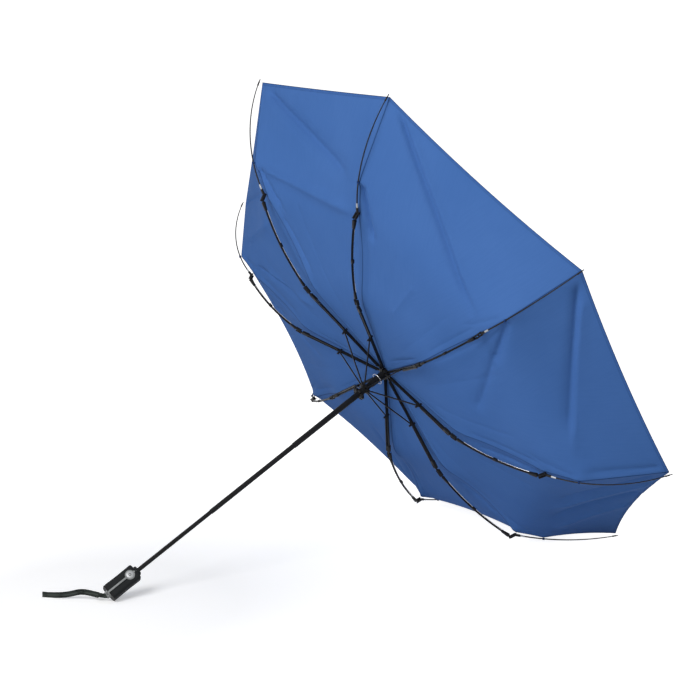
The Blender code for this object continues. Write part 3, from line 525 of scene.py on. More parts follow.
ROD_BOW, FLOOR_ROD_BOW = 0.0267, 0.0105
RIB_BOW = 0.0085
rod_arc, rib_arc = {}, {}
for number in RIBS:
    pins = chain[number]
    rod_arc[number] = Arc(pins["rod"], pins["tip"], FLOOR_ROD_BOW if number in FLOOR_RIBS else ROD_BOW)
    rib_arc[number] = Arc(pins["middle"], pins["outer"], RIB_BOW)
print("arc radius: rod", round(rod_arc[1].radius, 3), "m, middle rib", round(rib_arc[1].radius, 3), "m")

# %% [markdown]
# ## The outer rods
# The last stretch of each rib is a glass fibre rod, thinner toward its tip so that it bends most there.
# It is spun as an even bar, and then each ring of points is drawn toward the arc. Two of the rods lie
# on the floor, which flattens their bow.

# %% Tapered rods
ROD_RADIUS, ROD_TIP_RADIUS = 0.00155, 0.00095


def make_rod(number):
    arc = rod_arc[number]
    bm = round_bar(number, arc, 0.001, arc.length * 0.985, ROD_RADIUS, steps=30)
    for vertex in bm.verts:
        reach = (in_plane(number, vertex.co) - arc.start).dot(arc.along)
        share = min(max(reach / arc.length, 0), 1)
        middle = from_plane(number, arc.at(min(max(reach, 0), arc.length)))
        vertex.co = middle.lerp(vertex.co, 1 - share * (1 - ROD_TIP_RADIUS / ROD_RADIUS))
    return bm


rods = []
for number in RIBS:
    rod = add_piece(f"rod_{number}", make_rod(number), FIBRE, f"outer_rib_{number}")
    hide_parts(f"outer_rib_{number}")
    straighten(rod)
    rods.append(rod)
print(len(rods), "rods, bowed", round(ROD_BOW * 1000, 1), "mm where they are free")

# %% [markdown]
# ### Sockets, crimps, ties and tips
# A dark socket holds the rod at its hinge, a silver crimp is pressed on after it, a loop of cloth ties
# the canopy to the rod, and a small tip cap hooks into the hem's pocket. Socket, crimp and tie are
# short spun bars: socket and tie have rounded rims, and the crimp has pressed grooves. The tip is a
# cone that ends in a ball.

# %% What sits on each rod
TIE_REACH = 0.066
SOCKET_START, SOCKET_END, CRIMP_END = 0.0025, 0.0125, 0.0220
SOCKET_RADIUS, CRIMP_RADIUS, GROOVES, GROOVE_SHARE = 0.0027, 0.0019, 2, 0.82
TIE_HALF_WIDTH, TIE_RADIUS = 0.0018, 0.0026
CAP_START, CAP_LENGTH, CAP_RADIUS, CAP_END_RADIUS, BALL_RADIUS = 0.009, 0.008, 0.0016, 0.0013, 0.0019


def collar(number, arc, first, last, radius, rim=0.0003, segments=18):
    """Short round sleeve on the arc with softened rims."""
    bm = round_bar(number, arc, first, last, radius, steps=5, segments=segments)
    softened(bm, rim, 1.0)
    return bm


def ringed_collar(number, arc, first, last, radius, grooves):
    """Sleeve with pressed grooves: every fourth of its rings of points is drawn in."""
    steps = 4 * grooves + 2
    bm = round_bar(number, arc, first, last, radius, steps=steps, segments=18)
    for vertex in bm.verts:
        reach = (in_plane(number, vertex.co) - arc.start).dot(arc.along)
        if round((reach - first) / (last - first) * steps) % 4 == 3:
            middle = from_plane(number, arc.at(reach))
            vertex.co = middle.lerp(vertex.co, GROOVE_SHARE)
    return bm


def make_tip(number):
    arc = rod_arc[number]
    spot = arc_spot(number, arc, arc.length - CAP_START)
    bm = bmesh.new()
    bmesh.ops.create_cone(
        bm, cap_ends=True, segments=16, radius1=CAP_RADIUS, radius2=CAP_END_RADIUS, depth=CAP_LENGTH,
        matrix=spot @ Matrix.Translation((0, 0, CAP_LENGTH / 2)),
    )
    ball = spot @ Matrix.Translation((0, 0, 0.0074))
    bmesh.ops.create_uvsphere(bm, u_segments=16, v_segments=10, radius=BALL_RADIUS, matrix=ball)
    return bm


def tie_cloth():
    finish = Finish("tie_cloth", 0.85, specular=0.1)
    finish.colour(finish.mixed(finish.noise(900), (0.010, 0.025, 0.085), (0.020, 0.048, 0.150)))
    finish.bump(finish.noise(2400), 0.4, 0.0002)
    return finish.material


TIE = tie_cloth()
for number in RIBS:
    arc = rod_arc[number]
    socket = collar(number, arc, SOCKET_START, SOCKET_END, SOCKET_RADIUS)
    crimp = ringed_collar(number, arc, SOCKET_END, CRIMP_END, CRIMP_RADIUS, GROOVES)
    tie = collar(number, arc, TIE_REACH - TIE_HALF_WIDTH, TIE_REACH + TIE_HALF_WIDTH, TIE_RADIUS)
    fittings = (
        ("rod_socket", socket, MOULDING, "black_plastic"), ("rod_crimp", crimp, SILVER, "silver_paint"),
        ("rod_tie", tie, TIE, "blue_cloth"), ("rod_tip", make_tip(number), MOULDING, "black_plastic"),
    )
    for name, mesh, material, slot in fittings:
        piece = add_piece(f"{name}_{number}", mesh, material, f"outer_rib_{number}")
        straighten(piece)
print("each rod has", len(fittings), "fittings")

# %% [markdown]
# ## The middle ribs
# The middle rib is a steel channel, open on the side away from the cloth, and bent like a drawn bow by
# its own spring wire and the cloth. A flat bar is spun along the arc; its open side is then inset and
# pushed in, which leaves the channel's two walls. The wire is a second, thinner arc on the cloth's
# side.

# %% Bowed channels
CHANNEL_WIDTH, CHANNEL_DEPTH, CHANNEL_WALL, CHANNEL_HOLLOW = 0.0036, 0.0028, 0.0007, 0.0016
CHANNEL_END = 0.004
WIRE_RADIUS, WIRE_RISE, WIRE_BOW_SHARE = 0.00062, 0.0029, 0.72


def make_channel(number):
    arc = rib_arc[number]
    ends = (CHANNEL_END, arc.length - CHANNEL_END)
    bm = flat_bar(number, arc, *ends, CHANNEL_WIDTH, CHANNEL_DEPTH, steps=26)
    bmesh.ops.recalc_face_normals(bm, faces=bm.faces)
    bm.normal_update()
    outside = -direction_of(number, arc.to_cloth)
    open_side = [face for face in bm.faces if face.normal.dot(outside) > 0.9]
    bmesh.ops.inset_region(bm, faces=open_side, thickness=CHANNEL_WALL, depth=-CHANNEL_HOLLOW)
    return bm


def make_wire(number):
    """Spring wire beside the channel: it leaves at both ends and stands off most halfway."""
    arc = rib_arc[number]
    ends = (arc.at(reach, WIRE_RISE) for reach in (0.020, arc.length - 0.016))
    lifted = Arc(*ends, RIB_BOW * WIRE_BOW_SHARE)
    return round_bar(number, lifted, 0.0, lifted.length, WIRE_RADIUS, steps=24, segments=8)


for number in RIBS:
    body = f"middle_rib_{number}"
    channel = add_piece(f"channel_{number}", make_channel(number), COATING, body)
    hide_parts(body)
    wire = add_piece(f"rib_wire_{number}", make_wire(number), STEEL, body)
    for piece in (channel, wire):
        straighten(piece)
print("eight bowed channels, each with its wire")

# %% [markdown]
# ### Moulded joint pieces
# At each joint the steel parts end in moulded pieces: a sleeve on the top rib, a tapered socket on the
# middle rib, a clip halfway and a longer sleeve before the outer joint. Each is a short block drawn out
# from a rectangle and rounded along its edges, so one helper makes them all.

# %% Blocks along a rib


def drawn_block(first, last, side, near, far, rise=0.0, soft=0.0007):
    """Rounded block drawn out from first to last; near and far are its (width, depth) at either end."""
    spot = frame_along(first, last, side) @ Matrix.Rotation(math.radians(90), 4, "Y")
    spot = spot @ Matrix.Translation((-rise, 0, 0))
    bm = bmesh.new()
    shape = Matrix.Diagonal((near[1], near[0], 1, 1))
    bmesh.ops.create_grid(bm, x_segments=1, y_segments=1, size=0.5, matrix=spot @ shape)
    drawn = bmesh.ops.extrude_face_region(bm, geom=bm.faces[:])
    moved = [item for item in drawn["geom"] if isinstance(item, bmesh.types.BMVert)]
    bmesh.ops.translate(bm, verts=moved, vec=last - first)
    narrowed = (far[1] / near[1], far[0] / near[0], 1)
    far_end = Matrix.Translation(last - first) @ spot
    bmesh.ops.scale(bm, verts=moved, vec=narrowed, space=far_end.inverted())
    bmesh.ops.recalc_face_normals(bm, faces=bm.faces)
    softened(bm, soft)
    return bm


def block(number, start, end, near, far, rise=0.0, soft=0.0007):
    """The same between two flat points of a rib's plane."""
    ends = (from_plane(number, flat) for flat in (start, end))
    return drawn_block(*ends, sideways[number], near, far, rise, soft)


def top_ends(number, before_first, before_last):
    """Two flat points of the top rib, by their distances from its pin at the inner bracket."""
    top, inner = chain[number]["top"], chain[number]["inner"]
    length = (inner - top).length
    return [above(top, inner, length - before) for before in (before_first, before_last)]


def rivet(bm, place, axis, radius=0.0016):
    """Add a low domed rivet head to a mesh."""
    turn = axis.to_track_quat("Z", "Y").to_matrix().to_4x4()
    dome = Matrix.Translation(place) @ turn @ Matrix.Diagonal((1, 1, 0.45, 1))
    bmesh.ops.create_uvsphere(bm, u_segments=12, v_segments=8, radius=radius, matrix=dome)


for number in RIBS:
    pins, arc = chain[number], rib_arc[number]
    ends = top_ends(number, 0.0245, 0.0065)
    sleeve = block(number, *ends, (0.0066, 0.0074), (0.0058, 0.0060), rise=-0.0004, soft=0.0011)
    add_piece(f"top_sleeve_{number}", sleeve, MOULDING, f"top_rib_{number}")
    half, whole = arc.length / 2, arc.length
    # name, from, to, (width, depth) at either end, rise, rounding
    moulded_blocks = (
        ("rib_socket", 0.0050, 0.0230, (0.0052, 0.0056), (0.0044, 0.0042), 0.0, 0.0009),
        ("rib_clip", half - 0.0045, half + 0.0045, (0.0048, 0.0058), (0.0048, 0.0058), 0.0009, 0.0007),
        ("rib_sleeve", whole - 0.0235, whole - 0.0050, (0.0054, 0.0052), (0.0072, 0.0074), 0.0, 0.0012),
    )
    for name, first, last, near, far, rise, soft in moulded_blocks:
        mesh = block(number, arc.at(first), arc.at(last), near, far, rise, soft)
        piece = add_piece(f"{name}_{number}", mesh, MOULDING, f"middle_rib_{number}")
        straighten(piece)
print("four moulded pieces on each rib")

# %% [markdown]
# ### Cheeks and rivets
# Each bracket is a pair of moulded cheeks on either side of the two hinge pins, and the pins end in low
# rivet heads on them. A cheek is the same drawn block, thin and deep; a rivet head is a flattened sphere.

# %% Bracket cheeks and rivet heads
CHEEK_SIDE, CHEEK_WIDTH, CHEEK_DEPTH, CHEEK_PAST_PIN = 0.0032, 0.0013, 0.0064, 0.0034


def cheeks(number, first, last):
    """Two thin blocks beside a bracket, from a little before its first pin to a little after its second."""
    past = (last - first).normalized() * CHEEK_PAST_PIN
    size = (CHEEK_WIDTH, CHEEK_DEPTH)
    both = bmesh.new()
    for side in (-1, 1):
        ends = (from_plane(number, flat, side * CHEEK_SIDE) for flat in (first - past, last + past))
        cheek = drawn_block(*ends, sideways[number], size, size, soft=0.0005)
        mesh = bpy.data.meshes.new("cheek")
        cheek.to_mesh(mesh)
        cheek.free()
        both.from_mesh(mesh)
        bpy.data.meshes.remove(mesh)
    return both


for number in RIBS:
    for bracket, held in (("inner_bracket", ("inner", "middle")), ("outer_bracket", ("outer", "rod"))):
        flats = [chain[number][name] for name in held]
        node = f"{bracket}_{number}"
        add_piece(f"cheeks_{node}", cheeks(number, *flats), MOULDING, node)
        heads = bmesh.new()
        for flat in flats:
            for side in (-1, 1):
                outside = side * (CHEEK_SIDE + CHEEK_WIDTH / 2)
                rivet(heads, from_plane(number, flat, outside), sideways[number])
        add_piece(f"rivets_{node}", heads, COATING, node)
print("cheeks and rivets on sixteen brackets")

# %% [markdown]
# ## Top ribs and stretchers
# A top rib is a deeper channel than the others, because the stretcher folds into it. The section is
# drawn out from a rectangle and its open side is inset and pushed in. A bare spring wire beside it is
# the thin light line that shows between the channel and its link bar. The stretcher has a web between
# its two eyes.

# %% Channels, link wires and webs
LINK_WIRE_SIDE, LINK_WIRE_RADIUS = 0.0028, 0.0006
STRETCHER_REACH, STRETCHER_RISE, EYE_LENGTH, WEB_SIZE = 0.1094, -0.0020, 0.0085, (0.0023, 0.0041)


def top_channel(number):
    top, inner = chain[number]["top"], chain[number]["inner"]
    along = (inner - top).normalized()
    start, end = above(top, inner, 0.0105), above(top, inner, (inner - top).length - 0.0225)
    bm = block(number, start, end, (0.0044, 0.0052), (0.0044, 0.0050), rise=-0.0006, soft=0.0004)
    bm.normal_update()
    away = direction_of(number, (along.y, -along.x))
    open_side = [face for face in bm.faces if face.normal.dot(away) > 0.99]
    bmesh.ops.inset_region(bm, faces=open_side, thickness=0.0004, depth=0)
    bmesh.ops.translate(bm, verts=list({v for face in open_side for v in face.verts}), vec=away * -0.0044)
    return bm


def link_wire(number):
    top, inner = chain[number]["top"], chain[number]["inner"]
    flats = (above(top, inner, reach, -0.0010) for reach in (0.118, 0.196))
    near, far = (from_plane(number, flat, LINK_WIRE_SIDE) for flat in flats)
    length = (far - near).length
    bm = bmesh.new()
    turn = frame_along(near, far, sideways[number]) @ Matrix.Rotation(math.radians(90), 4, "Y")
    bmesh.ops.create_cone(
        bm, cap_ends=True, segments=10, radius1=LINK_WIRE_RADIUS, radius2=LINK_WIRE_RADIUS, depth=length,
        matrix=turn @ Matrix.Translation((0, 0, length / 2)),
    )
    return bm


def stretcher_web(number):
    top, inner, low = (chain[number][name] for name in ("top", "inner", "stretcher"))
    high = above(top, inner, STRETCHER_REACH, STRETCHER_RISE)
    eye = (high - low).normalized() * EYE_LENGTH
    return block(number, low + eye, high - eye, WEB_SIZE, WEB_SIZE, soft=0.0004)


for number in RIBS:
    for name, make, material, body in (
        ("top_channel", top_channel, COATING, "top_rib"), ("link_wire", link_wire, STEEL, "top_rib"),
        ("stretcher_web", stretcher_web, COATING, "stretcher"),
    ):
        add_piece(f"{name}_{number}", make(number), material, f"{body}_{number}")
print("top ribs and stretchers dressed")

# %% [markdown]
# ## The cloth
# The cloth is the main thing in the picture, so its shape deserves care. It could be simulated, but
# here its shape is known from the photograph: along each rib it is held at the notch, at the two joints
# and at one tie, and stands off the rib between them. Between two ribs it is stretched, so straight
# lines from rib to rib are a good start. They are then relaxed where no rib holds them, as a film of
# soap would be, and last come the creases, which run in lines of tension from the tips to the ties.

# %% Lines of the cloth over the ribs
GORE_COLUMNS = 96
INNER_ROWS, MIDDLE_ROWS, SLEEVE_ROWS, TIE_ROWS, HEM_ROWS = 24, 26, 1, 12, 40
OVER_INNER, OVER_OUTER = 0.0110, 0.0050
# Keyed by whether the rib lies on the floor
STAND_OFF = {True: 0.0125, False: 0.0060}
TIE_DEPTH = {True: -0.0062, False: -0.0192}
SEAM_BULGE = {True: 0.0045, False: 0.0}
OUTER_REACH, ROD_REACH, ROD_RISE, HEM_REACH, HEM_RISE = 0.194, 0.003, 0.0052, 0.236, 0.0032
HOLE_RADIUS, NOTCH_RADIUS, NOTCH_RISE = 0.0045, 0.0128, 0.0041


def humped(start, end, count, hump):
    """Points from start to end without the first, raised between them by up to hump."""
    length = (end - start).length
    shares = (step / count for step in range(1, count + 1))
    return [above(start, end, length * share, 4 * hump * share * (1 - share)) for share in shares]


def rib_line(number):
    """Flat points of the cloth over one rib: hole, notch, inner joint, outer joint, rod, tie, hem."""
    pins, on_floor = chain[number], number in FLOOR_RIBS
    notch = Vector((NOTCH_RADIUS, NOTCH_RISE))
    along = (pins["inner"] - notch).normalized()
    inner = pins["inner"] + Vector((-along.y, along.x)) * OVER_INNER
    outer = above(pins["middle"], pins["rod"], OUTER_REACH, OVER_OUTER)
    rod = above(pins["rod"], pins["tip"], ROD_REACH, ROD_RISE)
    tie = above(pins["rod"], pins["tip"], TIE_REACH, TIE_DEPTH[on_floor])
    hem = above(pins["rod"], pins["tip"], HEM_REACH, HEM_RISE)
    points = [Vector((HOLE_RADIUS, NOTCH_RISE)), notch]
    points += humped(notch, inner, INNER_ROWS - 1, 0.0010)
    points += humped(inner, outer, MIDDLE_ROWS, STAND_OFF[on_floor])
    points += humped(outer, rod, SLEEVE_ROWS, 0)
    points += humped(rod, tie, TIE_ROWS, 0.0006)
    return points + humped(tie, hem, HEM_ROWS, SEAM_BULGE[on_floor])


ROWS = INNER_ROWS + MIDDLE_ROWS + SLEEVE_ROWS + TIE_ROWS + HEM_ROWS
TIE_ROW = ROWS - HEM_ROWS
ROD_ROW = TIE_ROW - TIE_ROWS
INNER_ROW, OUTER_ROW = INNER_ROWS, INNER_ROWS + MIDDLE_ROWS
RIB_LINES = {number: rib_line(number) for number in RIBS}
print("cloth has", ROWS, "rows from the hole to the hem")

# %% [markdown]
# ### Easing the bends
# A cloth has no sharp bend over a joint. Each point near the inner joint and the tie is drawn halfway
# to the middle of its two neighbours, a few times over.

# %% Rib lines in space


def ease(points, rows, rounds):
    for _ in range(rounds):
        middle = (points[:-2] + points[2:]) / 2
        for row in rows:
            points[row] = points[row] * 0.5 + middle[row - 1] * 0.5


def in_space(number):
    points = np.array([from_plane(number, point) for point in RIB_LINES[number]])
    ease(points, range(INNER_ROW - 4, INNER_ROW + 5), 10)
    ease(points, range(TIE_ROW - 3, TIE_ROW + 4), 2)
    return points


rows_of = {number: in_space(number) for number in RIBS}
steps = np.linalg.norm(np.diff(rows_of[1], axis=0), axis=1)
print("the first rib's line is", round(float(steps.sum()), 3), "m long")

# %% [markdown]
# ### Stretching it from rib to rib
# The grid of points is an array with a row index and a column index. Columns run over all eight gores,
# and the array closes on itself, which is why the neighbours are taken with a roll.

# %% Cloth from rib to rib


def undipped(number):
    """A rib's line without its tie's pull: straight from the rod's hinge to the hem."""
    rows = rows_of[number].copy()
    shares = np.linspace(0, 1, ROWS - ROD_ROW + 1)[:, None]
    rows[ROD_ROW:] = rows[ROD_ROW] * (1 - shares) + rows[ROWS] * shares
    return rows


PULL_WIDTH, PULL_POWER = 2.2, 1.6


def pull_at(share):
    """How much of a tie's pull is felt at a share of the gore's width from its rib."""
    return max(0.0, 1 - PULL_WIDTH * share) ** PULL_POWER


def stretched():
    """Array of cloth points [row, column, xyz], ruled between ribs, with the ties' pull near each rib."""
    columns = []
    for number in RIBS:
        after = number % len(RIBS) + 1
        here, there = undipped(number), undipped(after)
        pull_here, pull_there = rows_of[number] - here, rows_of[after] - there
        for step in range(GORE_COLUMNS):
            share = step / GORE_COLUMNS
            ruled = here * (1 - share) + there * share
            columns.append(ruled + pull_here * pull_at(share) + pull_there * pull_at(1 - share))
    return np.array(columns).transpose(1, 0, 2)


def relaxed(points, rounds):
    """Points drawn toward the mean of their neighbours, the more so the further they are from a rib."""
    share = (np.arange(points.shape[1]) % GORE_COLUMNS) / GORE_COLUMNS
    freedom = (4 * share * (1 - share))[None, :, None] ** 0.7
    for _ in range(rounds):
        along = points.copy()
        along[1:-1] = (points[:-2] + points[2:]) / 2
        across = (np.roll(points, 1, axis=1) + np.roll(points, -1, axis=1)) / 2
        moved = (along * 0.6 + across * 0.4) - points
        moved[:2], moved[-1] = 0, 0
        points = points + moved * freedom * 0.8
    return points


cloth = relaxed(stretched(), 90)
print("cloth grid", cloth.shape)

# %% [markdown]
# ### The cut of the hem
# A gore is cut hollow between two tips, and a pulled hem hollows further. The rows beyond the ties are
# shortened toward the middle of each gore by that gore's own amount, in metres.

# %% Hollow hems
HEM_HOLLOW = (0.001, 0.008, 0.007, 0.018, 0.010, 0.010, 0.005, 0.005)


def hollowed(points):
    hollow = np.repeat(HEM_HOLLOW, GORE_COLUMNS)
    share = np.tile(np.arange(GORE_COLUMNS) / GORE_COLUMNS, len(RIBS))
    outward_line = points[-1] - points[-4]
    outward_line /= np.linalg.norm(outward_line, axis=1, keepdims=True)
    amount = (hollow * 4 * share * (1 - share))[:, None]
    for row in range(TIE_ROW, ROWS + 1):
        fade = (row - TIE_ROW) / HEM_ROWS
        points[row] -= outward_line * amount * fade
    return points


cloth = hollowed(cloth)
print("deepest hem hollow", max(HEM_HOLLOW) * 1000, "mm")

# %% [markdown]
# ### Creases
# A crease is written as a line between two spots of a gore. Each spot is a share across the gore and a
# row. Sideways it has a rounded profile with a sharper middle, as a pulled fold has, and it fades at
# both ends: quickly at its start, where it is held, and slowly at its end.

# %% Folding along a line
FADE_IN, FADE_OUT, SHARP_WIDTH, SHARP_SHARE = 0.08, 0.22, 0.35, 0.4


def surface_normals(points):
    """Unit normals of the array, toward the inside of the bowl."""
    down = np.empty_like(points)
    down[1:-1] = points[2:] - points[:-2]
    down[0], down[-1] = points[1] - points[0], points[-1] - points[-2]
    across = np.roll(points, -1, axis=1) - np.roll(points, 1, axis=1)
    normals = np.cross(down, across)
    normals /= np.linalg.norm(normals, axis=2, keepdims=True)
    return normals if (normals @ np.array(shaft_up)).mean() > 0 else -normals


def gore_spots(points, gore):
    """The gore's points laid out flat: distance across from its middle, and distance from the hub."""
    columns = [(gore * GORE_COLUMNS + step) % points.shape[1] for step in range(GORE_COLUMNS + 1)]
    part = points[:, columns]
    middle = (part[:, 0] + part[:, -1]) / 2
    reach = np.concatenate([[0], np.linalg.norm(np.diff(middle, axis=0), axis=1).cumsum()])
    width = np.linalg.norm(part[:, -1] - part[:, 0], axis=1)
    share = np.linspace(-0.5, 0.5, GORE_COLUMNS + 1)
    return columns, width[:, None] * share[None, :], np.repeat(reach[:, None], GORE_COLUMNS + 1, axis=1)


def spot_of(flat, share, row):
    """Flat place of a share across the gore and a row, both of which may fall between grid lines."""
    _, across, reach = flat
    low = min(int(row), ROWS - 1)
    rest = row - low
    here, there = across[low, -1] - across[low, 0], across[low + 1, -1] - across[low + 1, 0]
    width = here * (1 - rest) + there * rest
    return np.array([(share - 0.5) * width, reach[low, 0] * (1 - rest) + reach[low + 1, 0] * rest])


def crease(lift, flat, start, end, depth, width):
    """Add a fold to lift, from start to end, each a (share, row) of the gore; it widens toward its end."""
    columns, across, reach = flat
    first, last = spot_of(flat, *start), spot_of(flat, *end)
    line = last - first
    length = np.linalg.norm(line)
    offset_x, offset_y = across - first[0], reach - first[1]
    along = (offset_x * line[0] + offset_y * line[1]) / length**2
    apart = np.abs(offset_x * line[1] - offset_y * line[0]) / length
    wide = width * (0.7 + 0.6 * np.clip(along, 0, 1))
    fade = np.clip(np.minimum(along / FADE_IN, (1 - along) / FADE_OUT), 0, 1)
    fade = fade * fade * (3 - 2 * fade)
    round_part, sharp_part = (np.exp(-((apart / (share * wide)) ** 2)) for share in (1, SHARP_WIDTH))
    fold = (1 - SHARP_SHARE) * round_part + SHARP_SHARE * sharp_part
    change = depth * fold * fade
    for index, column in enumerate(columns[:-1]):
        lift[:, column] += change[:, index]


print("fold helper ready")

# %% [markdown]
# ### Where the creases are
# Every gore is pulled the same way by its ties, so a few faint folds return in all of them. The others
# are each gore's own, and follow the photograph. An entry holds where the crease starts and ends, its
# depth and its width in metres. A positive depth goes away from the ribs.

# %% Lists of creases
J1, J2, TIED, HEM = INNER_ROW, OUTER_ROW, TIE_ROW, ROWS
EVERY_GORE = (
    ((0.02, TIED), (0.12, J2 - 6), 0.0026, 0.010),
    ((0.98, TIED), (0.90, J2 - 4), 0.0018, 0.010),
    ((0.05, J2), (0.08, J1 + 2), 0.0022, 0.009),
    ((0.95, J2), (0.94, J1 + 3), 0.0018, 0.006),
    ((0.30, J2 + 2), (0.42, J1 - 8), 0.0009, 0.012),
    ((0.80, J2 - 4), (0.72, J1 - 10), 0.0008, 0.010),
    ((0.06, J1 - 2), (0.30, 4), 0.0010, 0.005),
    ((0.94, J1 - 2), (0.70, 4), 0.0010, 0.005),
)
OWN_CREASES = {
    1: (
        ((0.04, HEM - 3), (0.90, TIED), 0.0105, 0.017),
        ((0.04, TIED - 1), (0.97, J2 + 1), -0.0092, 0.015),
        ((0.01, TIED - 2), (0.09, J2 - 3), 0.0075, 0.009),
        ((0.97, HEM - 2), (0.98, TIED + 4), -0.0030, 0.007),
        ((0.05, J2 - 6), (0.10, J1 + 4), 0.0040, 0.007),
    ),
    2: (
        ((0.01, TIED), (0.11, J2 - 5), 0.0090, 0.009),
        ((0.05, HEM - 1), (0.98, J2 + 1), 0.0086, 0.009),
        ((0.09, HEM - 1), (0.97, J2 + 4), -0.0030, 0.012),
        ((0.50, J2 - 6), (0.40, J1 + 2), -0.0022, 0.012),
        ((0.94, J1 - 4), (0.55, 6), 0.0022, 0.006),
    ),
    3: (
        ((0.03, HEM - 3), (0.80, TIED + 3), 0.0085, 0.014),
        ((0.10, HEM - 4), (0.92, TIED + 1), -0.0044, 0.015),
        ((0.01, TIED + 1), (0.22, J2), 0.0090, 0.012),
        ((0.16, J2 + 2), (0.66, J1 + 10), 0.0060, 0.013),
        ((0.97, HEM - 2), (0.96, TIED + 3), 0.0040, 0.008),
    ),
    4: (
        ((0.30, HEM - 1), (0.78, TIED - 1), 0.0085, 0.019),
        ((0.14, HEM - 2), (0.62, TIED - 2), -0.0060, 0.019),
        ((0.48, HEM - 1), (0.90, TIED + 4), -0.0055, 0.017),
        ((0.03, HEM - 4), (0.46, TIED - 1), 0.0055, 0.017),
        ((0.06, J2), (0.14, J1 + 6), 0.0045, 0.009),
    ),
    5: (
        ((0.10, TIED + 8), (0.70, TIED - 4), 0.0040, 0.012),
        ((0.85, HEM - 6), (0.30, TIED + 2), 0.0042, 0.014),
        ((0.06, J2), (0.16, J1 + 6), 0.0045, 0.009),
    ),
    6: (((0.08, HEM - 6), (0.75, TIED), 0.0055, 0.013), ((0.10, J2 + 2), (0.50, J1), 0.0034, 0.010)),
    7: (((0.90, HEM - 6), (0.25, TIED), 0.0055, 0.013), ((0.85, J2 + 2), (0.45, J1), 0.0034, 0.010)),
    8: (
        ((0.16, TIED + 2), (0.80, J2 - 1), -0.0060, 0.014),
        ((0.06, HEM - 4), (0.70, TIED + 2), 0.0060, 0.013),
        ((0.10, J2 + 2), (0.46, J1 + 4), 0.0050, 0.010),
        ((0.20, J2 - 4), (0.62, J1 - 2), -0.0036, 0.009),
    ),
}


def creased(points):
    lift = np.zeros(points.shape[:2])
    for number in RIBS:
        flat = gore_spots(points, number - 1)
        for start, end, depth, width in EVERY_GORE + OWN_CREASES[number]:
            crease(lift, flat, start, end, depth, width)
    return points + surface_normals(points) * lift[:, :, None]


cloth = creased(cloth)
cloth_normals = surface_normals(cloth)
print(len(RIBS) * len(EVERY_GORE) + sum(len(own) for own in OWN_CREASES.values()), "creases")

# %% [markdown]
# ### The weave
# Up close the cloth is a plain weave of fine threads, with a darker line where two gores are sewn
# together, a rolled hem with a band of painted shade over it and a darker line of painted shade along
# its edge, and a row of stitches in it. The UV map counts metres across from the nearest seam and metres
# up from the hem, so the material can find all of these.

# %% Cloth material
STITCH_HEIGHT = 0.0060


def cloth_material():
    finish = Finish("blue_weave", 0.8, specular=0.08)
    place = finish.place("UV")
    split = finish.node("ShaderNodeSeparateXYZ")
    finish.link(place, split.inputs[0])
    across, height = finish.sum_of(split.outputs["X"], 0, "ABSOLUTE"), split.outputs["Y"]
    clouds = finish.spread(finish.noise(6, 3), 0, 1, 0.3, 0.7)
    base = finish.mixed(clouds, (0.046, 0.122, 0.338), (0.053, 0.134, 0.361))
    streaks = finish.node("ShaderNodeMapping", Scale=(260, 18, 1))
    finish.link(place, streaks.inputs["Vector"])
    faint = finish.spread(finish.noise(1, 3, streaks.outputs[0]), 0.0, 0.35, 0.4, 0.8)
    base = finish.mixed(faint, base, (0.041, 0.111, 0.312))
    # the seam, painted shade over the rolled hem and painted shade along its edge: measured from, how dark,
    # where it starts and ends, colour
    for measured, most, start, end, colour in (
        (across, 0.75, 0.0004, 0.0016, (0.010, 0.028, 0.095)),
        # painted shade over the rolled hem
        (height, 0.35, 0.0055, 0.0070, (0.026, 0.075, 0.235)),
        # painted shade along the hem's edge
        (height, 0.85, 0.0006, 0.0018, (0.006, 0.018, 0.060)),
    ):
        base = finish.mixed(finish.spread(measured, most, 0.0, start, end), base, colour)
    off_row = finish.sum_of(finish.sum_of(height, STITCH_HEIGHT, "SUBTRACT"), 0, "ABSOLUTE")
    in_row = finish.spread(off_row, 1, 0, 0.0002, 0.0005)
    sewn = finish.sum_of(finish.spread(finish.wave(160.0, "X", place), 0, 1, 0.35, 0.6), in_row, "MULTIPLY")
    finish.colour(finish.mixed(sewn, base, (0.014, 0.040, 0.130)))
    weave = finish.sum_of(*(finish.wave(900.0, direction, place) for direction in ("X", "Y")))
    finish.bump(finish.sum_of(weave, finish.sum_of(sewn, -2.0, "MULTIPLY")), 0.10, 0.0002)
    finish.roughness(finish.spread(finish.noise(40, 3), 0.74, 0.88))
    return finish.material


CLOTH = cloth_material()
print("cloth material", CLOTH.name, "with", len(CLOTH.node_tree.nodes), "nodes")

# %% [markdown]
# ### Cutting the cloth into pieces that ride on the ribs
# The real cloth is one sheet of eight gores. Here it is laid out as three grids around each rib,
# because each rib moves on its own hinges. The grids share the array's points along their edges, and
# all take the array's normals, so at rest the whole looks like one sheet. When wind_flip turns the ribs
# the grids stay stiff and part from each other.

# %% Pieces of the canopy
ZONES = {"top_rib": (0, INNER_ROW), "middle_rib": (INNER_ROW, OUTER_ROW), "outer_rib": (OUTER_ROW, ROWS)}
gore_width = {n: np.linalg.norm(rows_of[n % len(RIBS) + 1] - rows_of[n], axis=1) for n in RIBS}
from_hem = {}
for number in RIBS:
    steps = np.linalg.norm(np.diff(rows_of[number], axis=0), axis=1)
    from_hem[number] = np.append(steps[::-1].cumsum()[::-1], 0.0)


def lay_uv(bm, name, uv_of):
    """Give a mesh a UV map from each vertex's own (u, v)."""
    layer = bm.loops.layers.uv.new(name)
    for face in bm.faces:
        for loop in face.loops:
            loop[layer].uv = uv_of[loop.vert]


